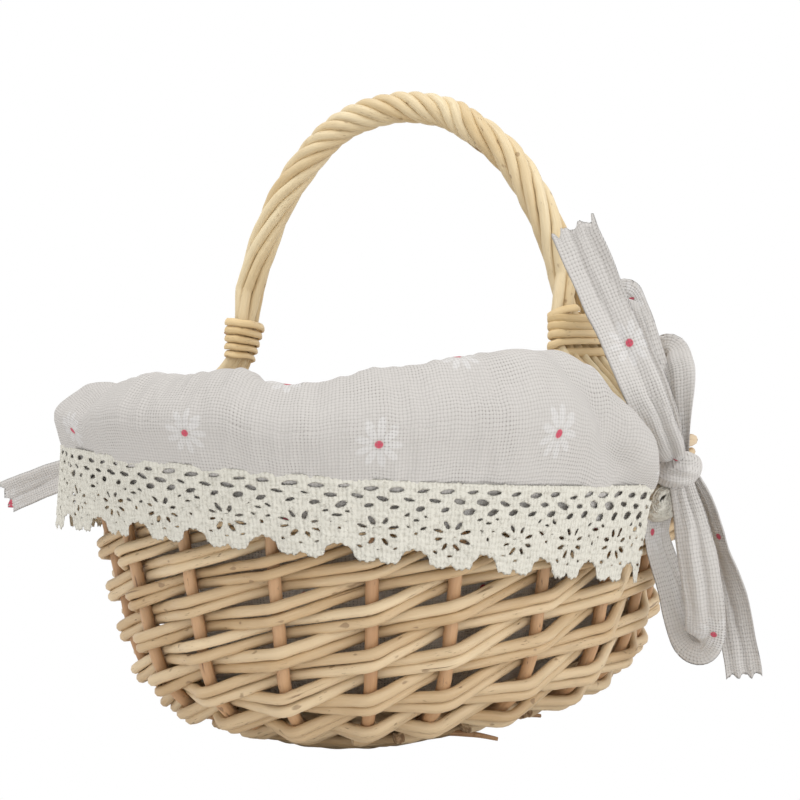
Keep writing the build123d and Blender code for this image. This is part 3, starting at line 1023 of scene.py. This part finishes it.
# Liner: a cloth bowl inside the wall with a floor of its own, in a lighter, warmer copy of the linen that
# paints in warm bounced light

liner = {
    "inside": -0.0093,
    "foot": 0.0142,
    "top": 0.086,
    "hem": 0.018,
    "thickness": 0.0009,
    "ripple": 0.0007,
    "threads": (360, 46),
    "footTurn": math.radians(74),
    "footEase": (0.0149, 0.2),
    "floorGap": 0.0011,
    "floorRise": 0.0008,
    "floorRipple": 0.0003,
    "floorRim": (0.74, 0.20),
    "floorShare": 0.8,
    "floorThreads": (70, 110),
}


def linerOffset(height):
    reach = wall["bendRadius"] + liner["inside"]
    if height > bendCentre[1] - reach * math.sin(wall["flare"]):
        return flaredOffset(height) + liner["inside"] / math.cos(wall["flare"])
    sine = min((bendCentre[1] - height) / reach, math.sin(liner["footTurn"]))
    start, slope = liner["footEase"]
    return bendCentre[0] + reach * math.sqrt(1 - sine * sine) - max(0.0, start - height) * slope


def makeLiner():
    angles, length = spreadAngles(-math.pi, math.pi, liner["threads"][0], -0.01)

    def placeAt(u, v):
        angle = pick(angles, u)
        height = liner["foot"] + (liner["top"] - liner["foot"]) * v
        ripple = liner["ripple"] * (noise.noise(around(angle, 6, v * 2.2)) - 0.35)
        return onOval(angle, linerOffset(height) + ripple, height)

    def cutAt(u, v):
        return length * u, rise * v

    rise = liner["top"] - liner["foot"] + liner["hem"]
    bowl = layCloth("linerWall", liner["threads"], placeAt, cutAt, liner["thickness"], linerLinenPaintedWarmLight)
    carry(bowl, ["liner_wall"])


def makeLinerFloor():
    edge = linerOffset(liner["foot"]) - liner["floorGap"]
    wide = 2 * (halfWidth + edge)
    deep = 2 * (halfLength + edge)
    inner, over = liner["floorRim"]

    def placeAt(u, v):
        square = Vector((u * 2 - 1, v * 2 - 1))
        x = square.x * math.sqrt(1 - square.y ** 2 / 2)
        y = square.y * math.sqrt(1 - square.x ** 2 / 2)
        reach = math.hypot(x, y)
        rim = onOval(math.atan2(y, x), edge, 0)
        lift = liner["floorRipple"] * noise.noise(Vector((u * 7, v * 7, 3)))
        sag = base["rim"][1] * (1 - ease((reach - inner) / over))
        return Vector((rim.x * reach, rim.y * reach, liner["foot"] + liner["floorRise"] - sag + lift))

    def cutAt(u, v):
        return wide * u, deep * v

    floor = layCloth("linerFloor", liner["floorThreads"], placeAt, cutAt, liner["thickness"], linerLinenPaintedWarmLight)
    carry(floor, ["liner_floor"])
    wide * deep * liner["floorShare"]


# Collar: the liner's top, folded out over the rim in two halves that part at the handle feet
# The crest and the bulge go by degrees round the basket, from the near foot

collar = {
    "inside": -0.0100,
    "skin": 0.0068,
    "under": 0.0060,
    "seat": 0.008,
    "split": {-1: 0.0285, 1: 0.0300},
    "splitBack": 0.050,
    "near": 0.048,
    "crestFront": [
        (-166, 0.1035), (-160, 0.1040), (-148, 0.1060), (-136, 0.1030), (-125, 0.1062), (-119, 0.1062),
        (-114, 0.1030), (-108, 0.1065), (-102, 0.1078), (-86, 0.1088), (-80, 0.1050), (-77, 0.1038),
        (-73, 0.1045), (-69, 0.1064), (-64, 0.1080), (-50, 0.1118), (-38, 0.1150), (-34, 0.1136),
        (-29, 0.1090), (-25, 0.1040), (-20, 0.1015),
    ],
    "crestBack": [
        (14, 0.1060), (24, 0.1100), (38, 0.1060), (52, 0.1085), (70, 0.1050), (84, 0.1080),
        (98, 0.1045), (112, 0.1075), (126, 0.1040), (140, 0.1085), (156, 0.1060), (166, 0.1030),
    ],
    "bulge": [
        (-166, -0.0012), (-142, -0.0010), (-118, 0.0036), (-100, 0.0044),
        (-60, 0.0044), (-34, 0.0056), (-14, 0.0054),
    ],
    "lumps": 0.0021,
    "creases": -0.0013,
    "pucker": 0.0005,
    "pull": 0.0022,
    "tall": 0.074,
    "hem": 0.011,
    "thickness": 0.0011,
    "threads": (420, 88),
}
nearFold = {
    "turn": -35,
    "slant": 34,
    "crease": -0.0034,
    "creaseWide": 4.2,
    "ridge": 0.0026,
    "ridgeWide": 4.5,
    "apart": 8,
}
clothEdges = {"seam": (0.0833, 0.080, 0.008), "hem": (0.0496, 0.060, 0.1207)}
planHalves = (0.092, 0.115)


def turnAround(spot):
    return math.degrees(math.atan2(spot.y / planHalves[1], spot.x / planHalves[0]))


def seamHeight(spot):
    height, fallX, fallY = clothEdges["seam"]
    return height - fallX * spot.x - fallY * spot.y


def hemHeight(spot):
    height, fallX, riseY = clothEdges["hem"]
    return height - fallX * spot.x + riseY * abs(spot.y)


def outerSkin(height, out):
    return flaredOffset(height) + out / math.cos(wall["flare"])


def splitAngle(side, foot, reach, gap):
    low, high = 0.0, math.pi / 2
    for _ in range(40):
        middle = (low + high) / 2
        if onOval(middle, reach, 0).y > gap:
            high = middle
        else:
            low = middle
    angle = high if foot > 0 else math.pi - high
    return side * angle


def collarSpot(angle, t, side, edge):
    turn = turnAround(onOval(angle, collar["seat"], 0))
    crest = blendAt(collar["crestFront"] if side < 0 else collar["crestBack"], turn)
    bulge = blendAt(collar["bulge"], -abs(turn) if side > 0 else turn)
    bulge *= clamp((turn - 25) / 40, 0.1) if side > 0 else 1
    seam = seamHeight(onOval(angle, outerSkin(0.083, collar["skin"]), 0)) + 0.0004
    inner = flaredOffset(liner["top"]) + collar["inside"]
    waist = outerSkin(seam, collar["skin"])
    full = crest - 0.105
    line = [
        Vector((inner, liner["top"] + 0.0006)),
        Vector((inner - 0.0010, crest - 0.0110)),
        Vector((inner + 0.0012, crest - 0.0006)),
        Vector((inner + 0.0110, crest + 0.0004)),
        Vector((waist + bulge - 0.0052, crest - 0.0030)),
        Vector((waist + bulge + 0.0006 + full * 0.2, seam + (crest - seam) * 0.54)),
        Vector((waist + bulge * 0.55, seam + (crest - seam) * 0.245)),
        Vector((waist - 0.0002, seam)),
        Vector((outerSkin(seam - 0.005, collar["under"]), seam - 0.005)),
        Vector((outerSkin(seam - 0.011, collar["under"]), seam - 0.011)),
    ]
    offset, height = alongLine(soften(line), t)
    rise = arch(t)
    lumps = collar["lumps"] * noise.noise(around(angle, 5, t * 2.6 + side)) * rise
    creases = collar["creases"] * abs(noise.noise(around(angle, 15, t * 3.4 + side * 3)))
    creases *= 0.4 + 0.6 * rise
    pucker = collar["pucker"] * noise.noise(around(angle, 30, t * 2.1))
    low = max(0.0, 1 - abs(t - 0.78) / 0.12)
    push = (lumps + creases + pucker * low + 0.0005) * clamp((0.90 - t) / 0.08)
    if side < 0:
        push += foldNearFoot(turn, t)
    lean = Vector((offset - (inner + waist) / 2, height - 0.088)).normalized()
    spot = onOval(angle, offset + lean.x * push, height + lean.y * push)
    pull = max(0.0, 1 - edge / 0.010)
    spot.y += side * pull * collar["pull"] * math.sin(t * 5.2 + 0.6)
    return spot


def foldNearFoot(turn, t):
    centre = nearFold["turn"] + (t - 0.45) * nearFold["slant"]
    across = (turn - centre) / nearFold["creaseWide"]
    beyond = (turn - centre - nearFold["apart"]) / nearFold["ridgeWide"]
    crease = nearFold["crease"] * math.exp(-across * across) * arch((t - 0.28) / 0.6)
    ridge = nearFold["ridge"] * math.exp(-beyond * beyond) * arch((t - 0.3) / 0.6)
    return crease + ridge


def makeCollar(side, name, node):
    reach = outerSkin(0.09, collar["skin"])
    first = splitAngle(side, -1, reach, collar["split"][-1])
    last = splitAngle(side, 1, reach, collar["split"][1] if side < 0 else collar["splitBack"])
    angles, length = spreadAngles(first, last, 400, reach)
    middle = (collar["split"][1] - collar["split"][-1]) / 2

    def drawn(u, v):
        return u * (1 - collar["near"] * ease((v - 0.12) / 0.40) * u ** 4)

    def placeAt(u, v):
        edge = min(u, 1 - u) * length
        return collarSpot(pick(angles, drawn(u, v)), 1 - v, side, edge)

    def cutAt(u, v):
        return (drawn(u, v) - 0.5) * length - middle, v * collar["tall"] - collar["hem"]

    piece = layCloth(name, collar["threads"], placeAt, cutAt, collar["thickness"], printedLinen)
    carry(piece, [node])


# Lace: flowers of eight long holes under rows of eyelets, with a scalloped lower edge

lace = {
    "cell": 0.00043,
    "height": 0.0232,
    "thickness": 0.0005,
    "out": 0.0071,
    "split": 0.0285,
    "flare": 0.0080,
    "flareFrom": 108,
    "flareOver": 34,
    "wave": (0.0006, 0.0010),
    "lip": (0.45, 0.00034),
    "knots": 0.00026,
    "clothShare": 0.82,
}
motif = {  # millimetres: along the strip and down from the seam
    "period": 19.6,
    "rows": [(1.2, 2.4, 1.85, 0.72, -8), (4.5, 4.9, 1.7, 0.80, 12), (0.9, 7.3, 1.4, 0.82, -22)],
    "middle": (9.8, 14.0),
    "petals": (8, 4.2, 2.9),
    "petal": (1.25, 0.58),
    "eyes": (5, 1.25, 1.0),
    "eye": (0.38, 0.27),
    "between": [
        (0.0, 10.2, 1.1, 0.55, 0), (2.6, 9.2, 0.8, 0.45, 35), (17.0, 9.2, 0.8, 0.45, -35),
        (1.9, 12.2, 0.75, 0.38, -30), (17.7, 12.2, 0.75, 0.38, 30), (0.0, 14.0, 0.7, 0.42, 90),
        (5.4, 18.4, 0.7, 0.4, 20), (14.2, 18.4, 0.7, 0.4, -20), (9.8, 19.2, 0.6, 0.4, 0),
    ],
    "scallopHalf": 6.1,
    "scallopLow": 22.6,
    "scallopDip": 1.5,
    "notchHigh": 21.1,
    "notch": (3.7, 2.9),
}


def laceHoles():
    holes = []
    middleU, middleV = motif["middle"]
    for index in range(3):
        for u, v, wide, tall, lean in motif["rows"]:
            holes.append((index * motif["period"] / 3 + u, v, wide, tall, lean))
    count, wide, tall = motif["petals"]
    for petal in range(count):
        turn = math.radians(petal * 360 / count + 22)
        u, v = wide * math.cos(turn), tall * math.sin(turn)
        holes.append((middleU + u, middleV + v, *motif["petal"], math.degrees(math.atan2(v, u))))
    count, wide, tall = motif["eyes"]
    for eye in range(count):
        turn = math.radians(eye * 360 / count)
        holes.append((middleU + wide * math.cos(turn), middleV + tall * math.sin(turn), *motif["eye"], 0))
    return holes + motif["between"]


def withTurn(hole):
    u, v, wide, tall, lean = hole
    return u, v, wide, tall, math.cos(math.radians(lean)), math.sin(math.radians(lean))


lacePattern = [withTurn(hole) for hole in laceHoles()]


def laceEdge(u, local):
    middle = abs(local - motif["middle"][0])
    if middle < motif["scallopHalf"]:
        lobe = 1 - abs(math.sin(math.pi * middle / motif["scallopHalf"]))
        edge = motif["scallopLow"] - motif["scallopDip"] * lobe ** 2
    else:
        half, deep = motif["notch"]
        lobe = ((motif["middle"][0] - middle) / half) ** 2
        edge = motif["notchHigh"] - deep * math.sqrt(max(0.0, 1 - lobe))
    return edge + 0.5 * noise.noise(Vector((u * 0.45, 3, 1))) + 0.22 * math.sin(u * 3.4)


def laceDistance(u, v):
    period = motif["period"]
    local = u - math.floor(u / period) * period
    jitterU = 0.9 * noise.noise(Vector((u * 0.13, v * 0.16, 2.0)))
    jitterV = 0.7 * noise.noise(Vector((u * 0.13, v * 0.16, 8.0)))
    best = 9.0
    for order, (holeU, holeV, wide, tall, cosine, sine) in enumerate(lacePattern):
        down = v + jitterV - holeV
        if abs(down) > 3:
            continue
        side = (local + jitterU - holeU + period / 2) % period - period / 2
        if abs(side) > 3:
            continue
        repeat = math.floor((u + jitterU - holeU) / period + 0.5)
        size = 1 + 0.45 * noise.noise(Vector((order * 3.3, repeat * 1.9, 0.5)))
        first = (side * cosine + down * sine) / (wide * size)
        second = (down * cosine - side * sine) / (tall * size)
        best = min(best, (math.hypot(first, second) - 1) * tall)
    return min(best, (laceEdge(u, local) - v) * 0.8)


def makeLace(side, name, node):
    reach = outerSkin(0.075, lace["out"])
    first = splitAngle(side, -1, reach, lace["split"])
    last = splitAngle(side, 1, reach, lace["split"])
    angles, length = spreadAngles(first, last, 500, reach)
    across = int(length / lace["cell"])
    down = int(lace["height"] / lace["cell"])

    def placeAt(u, v, lift):
        angle = pick(angles, clamp(u))
        spot = onOval(angle, reach, 0)
        top = seamHeight(spot) + 0.0006
        low = hemHeight(spot)
        height = top + (low - top) * v
        wave = lace["wave"][0] * noise.noise(around(angle, 12, side))
        wave += lace["wave"][1] * v * v * (0.5 + noise.noise(around(angle, 7, side + 5)))
        wave += lace["flare"] * v * ease((abs(turnAround(spot)) - lace["flareFrom"]) / lace["flareOver"])
        out = outerSkin(height, lace["out"]) + wave + lift + 0.0003
        return onOval(angle, out, height)

    bm = bmesh.new()
    bmesh.ops.create_grid(bm, x_segments=across, y_segments=down, size=0.5)
    uvLayer = bm.loops.layers.uv.new("cut")
    cell = lace["cell"] * 1000
    tall = lace["height"] * 1000
    lipAt, lipHeight = lace["lip"]
    flat = {}
    depth = {}
    for vert in bm.verts:
        u = (vert.co.x + 0.5) * length * 1000
        v = (0.5 - vert.co.y) * tall
        flat[vert] = [u, v]
        depth[vert] = laceDistance(u, v)
    gone = [face for face in bm.faces if sum(depth[vert] for vert in face.verts) < 0]
    bmesh.ops.delete(bm, geom=gone, context="FACES")
    for vert in bm.verts:
        if vert.is_boundary:
            u, v = flat[vert]
            here = depth[vert]
            slopeU = (laceDistance(u + 0.1, v) - here) / 0.1
            slopeV = (laceDistance(u, v + 0.1) - here) / 0.1
            steep = max(slopeU ** 2 + slopeV ** 2, 0.05)
            move = clamp(-here / math.sqrt(steep), -cell * 0.6, cell * 0.6)
            flat[vert] = [u + slopeU / math.sqrt(steep) * move, v + slopeV / math.sqrt(steep) * move]
            depth[vert] = 0.0
    for vert in bm.verts:
        u, v = flat[vert]
        lip = max(0.0, 1 - abs(depth[vert] - lipAt) / lipAt)
        lift = lipHeight * lip + lace["knots"] * noise.noise(Vector((u * 1.1, v * 1.1, 6)))
        vert.co = placeAt(u / 1000 / length, v / tall, lift)
    for face in bm.faces:
        for loop in face.loops:
            u, v = flat[loop.vert]
            loop[uvLayer].uv = (u / 1000, v / 1000)
    bmesh.ops.solidify(bm, geom=bm.faces[:], thickness=lace["thickness"])
    bmesh.ops.recalc_face_normals(bm, faces=bm.faces)
    piece = makePiece(name, bm, [laceCotton])
    carry(piece, [node])
    area = length * lace["height"] * lace["clothShare"]  # the holes are left out


makeLiner()
makeLinerFloor()
makeCollar(-1, "collarFront", "collar_front")
makeCollar(1, "collarBack", "collar_back")
print("liner and collar are in")
makeLace(-1, "laceFront", "lace_front")
makeLace(1, "laceBack", "lace_back")
print("lace is in")


# Bows: ribbons of the same linen with raw ends, tied at each handle foot

bow = {
    "origin": (0.093, -0.008),
    "across": (0.909, 0.4167),
    "width": 0.0118,
    "smallWidth": 0.0100,
    "thickness": 0.0011,
    "threads": 18,
    "ridge": 0.0007,
    "crease": 0.0007,
    "cup": 0.0010,
    "waver": 0.0004,
    "frayLength": 0.004,
    "fray": (0.0010, 0.0014),
    "knot": (0.0074, 0.0050, 0.0052),
}


def bowSpot(u, height, toward):
    x, y = [start + step * u for start, step in zip(bow["origin"], bow["across"])]
    flat = Vector((x, y, height))
    return flat + (Vector(camera["place"]) - flat).normalized() * toward


def ribbon(name, node, places, turns, widths, seed, frayed=(), stuff=ribbonLinen):
    line = smoothLine([Vector(place) for place in places], 12)
    last = len(line) - 1
    runs = runsOf(line)
    sides = []
    toCamera = (Vector(camera["place"]) - line[0]).normalized()
    for index in range(last + 1):
        tangent = (line[min(index + 1, last)] - line[max(index - 1, 0)]).normalized()
        side = tangent.cross(toCamera)
        side = side.normalized() if side.length > 0.02 else sides[-1][0]
        turn = math.radians(blendAt(turns, index / last))
        sides.append((Matrix.Rotation(turn, 3, tangent) @ side, tangent))
    count = max(24, int(runs[-1] / 0.0011))

    def placeAt(u, v):
        place = v * last
        low = min(int(place), last - 1)
        part = place - low
        side = sides[low][0].lerp(sides[low + 1][0], part).normalized()
        tangent = sides[low][1].lerp(sides[low + 1][1], part).normalized()
        normal = side.cross(tangent)
        middle = line[low].lerp(line[low + 1], part)
        half = blendAt(widths, v) / 2
        across = u * 2 - 1
        ridge = bow["ridge"] * noise.noise(Vector((across * 1.9, v * runs[-1] * 45, seed)))
        crease = -bow["crease"] * math.exp(-((across - 0.25 * math.sin(v * 5 + seed)) / 0.16) ** 2)
        cup = bow["cup"] * across * across * math.sin(v * 3.1 + seed)
        fray = 0.0
        for end, depth in frayed:
            near = max(0.0, 1 - abs(v - end) * runs[-1] / bow["frayLength"])
            threads = bow["fray"][1] * noise.noise(Vector((across * 6, seed, 2)))
            fray += near * depth * (bow["fray"][0] * math.sin(across * 9 + seed) + threads)
        waver = bow["waver"] * noise.noise(Vector((v * runs[-1] * 120, seed, 5 + round(across))))
        return middle + side * (half * across + waver) + normal * (ridge + crease + cup) + tangent * fray

    def cutAt(u, v):
        return (u - 0.5) * bow["width"] + 0.0003 * seed, v * runs[-1] + 0.0131 * seed

    piece = layCloth(name, (bow["threads"], count), placeAt, cutAt, bow["thickness"], stuff)
    carry(piece, [node] if node else ())


def knotPiece(name, node, centre, across, seed):
    bm = bmesh.new()
    bmesh.ops.create_uvsphere(bm, u_segments=64, v_segments=40, radius=1.0)
    uvLayer = bm.loops.layers.uv.new("cut")
    side = Vector((across[0], across[1], 0)).normalized()
    up = Vector((0, 0, 1))
    front = side.cross(up)
    wide, deep, tall = bow["knot"]
    for vert in bm.verts:
        shape = vert.co.copy()
        tilt = shape.x * 0.55
        wrap = 1 + 0.13 * math.sin((shape.z + tilt) * 8 + 0.7) * (1 - abs(shape.z))
        wrap += 0.24 * shape.x - 0.18 * abs(shape.x) ** 3
        wrap += 0.09 * noise.noise(shape * 2.2 + Vector((seed, 0, 0)))
        rise = (shape.z * wrap + tilt * 0.5) * tall
        vert.co = Vector(centre) + side * shape.x * wide + front * shape.y * deep * wrap + up * rise
    for face in bm.faces:
        for loop in face.loops:
            out = loop.vert.co - Vector(centre)
            loop[uvLayer].uv = (out.dot(side) + 0.011, out.dot(up) + 0.007 + out.dot(front))
    bmesh.ops.recalc_face_normals(bm, faces=bm.faces)
    piece = makePiece(name, bm, [ribbonLinen])
    carry(piece, [node])


def nearRibbon(name, node, places, *rest):
    ribbon(name, node, [bowSpot(*place) for place in places], *rest)


def makeNearBow():
    knotPiece("nearBowKnot", "near_bow_knot", bowSpot(0.0018, 0.0792, 0.009), bow["across"], 1.0)
    nearRibbon(
        "nearBowTieUp", "near_bow_tie_up",
        [(-0.0285, 0.1530, 0.010), (-0.0215, 0.1360, 0.012), (-0.0140, 0.1180, 0.0155),
         (-0.0070, 0.1010, 0.0215), (-0.0020, 0.0880, 0.0200), (0.0004, 0.0830, 0.0130)],
        [(0, 0), (0.5, -14), (1, 20)],
        [(0, 0.0135), (0.4, 0.0122), (0.8, 0.0105), (1, 0.0075)], 1, [(0.0, 1.0)],
    )
    nearRibbon(
        "nearBowLoopUp", "near_bow_loop_up",
        [(0.0010, 0.0820, 0.005), (-0.0036, 0.0980, 0.0066), (-0.0100, 0.1150, 0.0060),
         (-0.0142, 0.1275, 0.0040), (-0.0134, 0.1318, -0.0005), (-0.0098, 0.1240, -0.0045),
         (-0.0026, 0.1020, -0.0035), (0.0022, 0.0870, 0.001)],
        [(0, 12), (0.45, 6), (0.55, -6), (1, -18)],
        [(0, 0.0080), (0.2, 0.0108), (0.75, 0.0108), (1, 0.0075)], 2,
    )
    nearRibbon(
        "nearBowLoopSide", "near_bow_loop_side",
        [(0.0030, 0.0850, 0.004), (0.0018, 0.0990, 0.001), (0.0002, 0.1110, -0.004),
         (-0.0008, 0.1150, -0.010), (-0.0030, 0.1110, -0.014), (-0.0032, 0.0990, -0.010),
         (0.0012, 0.0870, 0.0005)],
        [(0, -44), (0.35, -10), (0.6, 4), (1, -30)],
        [(0, 0.0070), (0.3, 0.0138), (0.6, 0.0112), (0.8, 0.0090), (1, 0.0070)], 3,
    )
    nearRibbon(
        "nearBowLoopDown", "near_bow_loop_down",
        [(0.0028, 0.0765, 0.011), (0.0056, 0.0640, 0.0125), (0.0084, 0.0480, 0.012),
         (0.0098, 0.0340, 0.009), (0.0082, 0.0284, 0.005), (0.0048, 0.0310, 0.0015),
         (0.0006, 0.0440, -0.001), (-0.0042, 0.0600, 0.000), (-0.0028, 0.0700, 0.003),
         (0.0002, 0.0765, 0.005)],
        [(0, 10), (0.45, 4), (0.55, 0), (0.8, 34), (1, 20)],
        [(0, 0.0075), (0.2, 0.0114), (0.5, 0.0120), (0.8, 0.0084), (1, 0.0060)], 4,
    )
    nearRibbon(
        "nearBowTailDown", "near_bow_tail_down",
        [(0.0052, 0.0790, 0.004), (0.0090, 0.0710, 0.001), (0.0128, 0.0600, -0.002),
         (0.0164, 0.0480, -0.003), (0.0194, 0.0330, -0.002), (0.0212, 0.0188, 0.001)],
        [(0, 62), (0.45, 50), (0.7, 20), (1, 4)],
        [(0, 0.0070), (0.3, 0.0096), (1, 0.0104)], 5, [(1.0, 0.7)],
    )
    nearRibbon(
        "nearBowSmallLoop", None,
        [(0.0002, 0.0768, 0.005), (-0.0050, 0.0748, 0.0066), (-0.0072, 0.0706, 0.007),
         (-0.0048, 0.0672, 0.0066), (-0.0006, 0.0690, 0.006), (0.0012, 0.0740, 0.004)],
        [(0, 58), (0.5, 50), (1, 58)], [(0, 0.0078), (0.5, 0.0086), (1, 0.0078)], 10, (), laceCotton,
    )


farBow = {"knot": (-0.0998, 0.0060, 0.0810), "across": (-0.956, -0.292)}


def makeFarBow():
    centre = Vector(farBow["knot"])
    across, along = farBow["across"]
    out = Vector((across, along, 0))
    up = Vector((0, 0, 1))
    front = Vector((along, -across, 0))
    knotPiece("farBowKnot", "far_bow_knot", centre, farBow["across"], 4.0)

    def spot(run, rise, depth):
        return centre + (out * run + up * rise - front * depth) * mm

    ribbon(
        "farBowTieOut", "far_bow_tie_out",
        [spot(3, 0, 2), spot(14, -2.6, 4.4), (-0.1225, -0.0055, 0.0785), (-0.1345, -0.0085, 0.0755),
         (-0.1455, -0.0115, 0.0715), (-0.1549, -0.0142, 0.0676)],
        [(0, 30), (0.4, 8), (1, 0)], [(0, 0.0070), (0.35, 0.0098), (1, 0.0112)], 6, [(1.0, 1.0)],
    )
    ribbon(
        "farBowLoopUp", "far_bow_loop_up",
        [spot(3, 2, 1), spot(14, 9, 3.5), spot(28, 16, 4.0), spot(32, 18, 0),
         spot(27, 15.5, -3.6), spot(14, 8, -3), spot(4, 2, -1)],
        [(0, 20), (0.5, 60), (1, 20)], [(0, 0.0070), (0.3, 0.0112), (0.7, 0.0112), (1, 0.0070)], 7,
    )
    ribbon(
        "farBowLoopDown", "far_bow_loop_down",
        [spot(1, -4, 1), spot(5, -15, 0), spot(11, -30, -2), spot(12, -34, -6),
         spot(8, -30, -9), spot(3, -15, -6), spot(1, -4, -2)],
        [(0, 20), (0.5, 60), (1, 20)], [(0, 0.0070), (0.3, 0.0116), (0.7, 0.0116), (1, 0.0070)], 8,
    )
    ribbon(
        "farBowTailDown", "far_bow_tail_down",
        [spot(0, -3, -2), spot(1, -16, -4.5), spot(-1, -32, -5.5), spot(1, -46, -4.6), spot(0, -57, -4)],
        [(0, 70), (0.4, 84), (1, 96)], [(0, 0.0070), (0.3, 0.0108), (1, 0.0120)], 9, [(1.0, 1.0)],
    )


makeNearBow()
makeFarBow()
print("bows are tied")
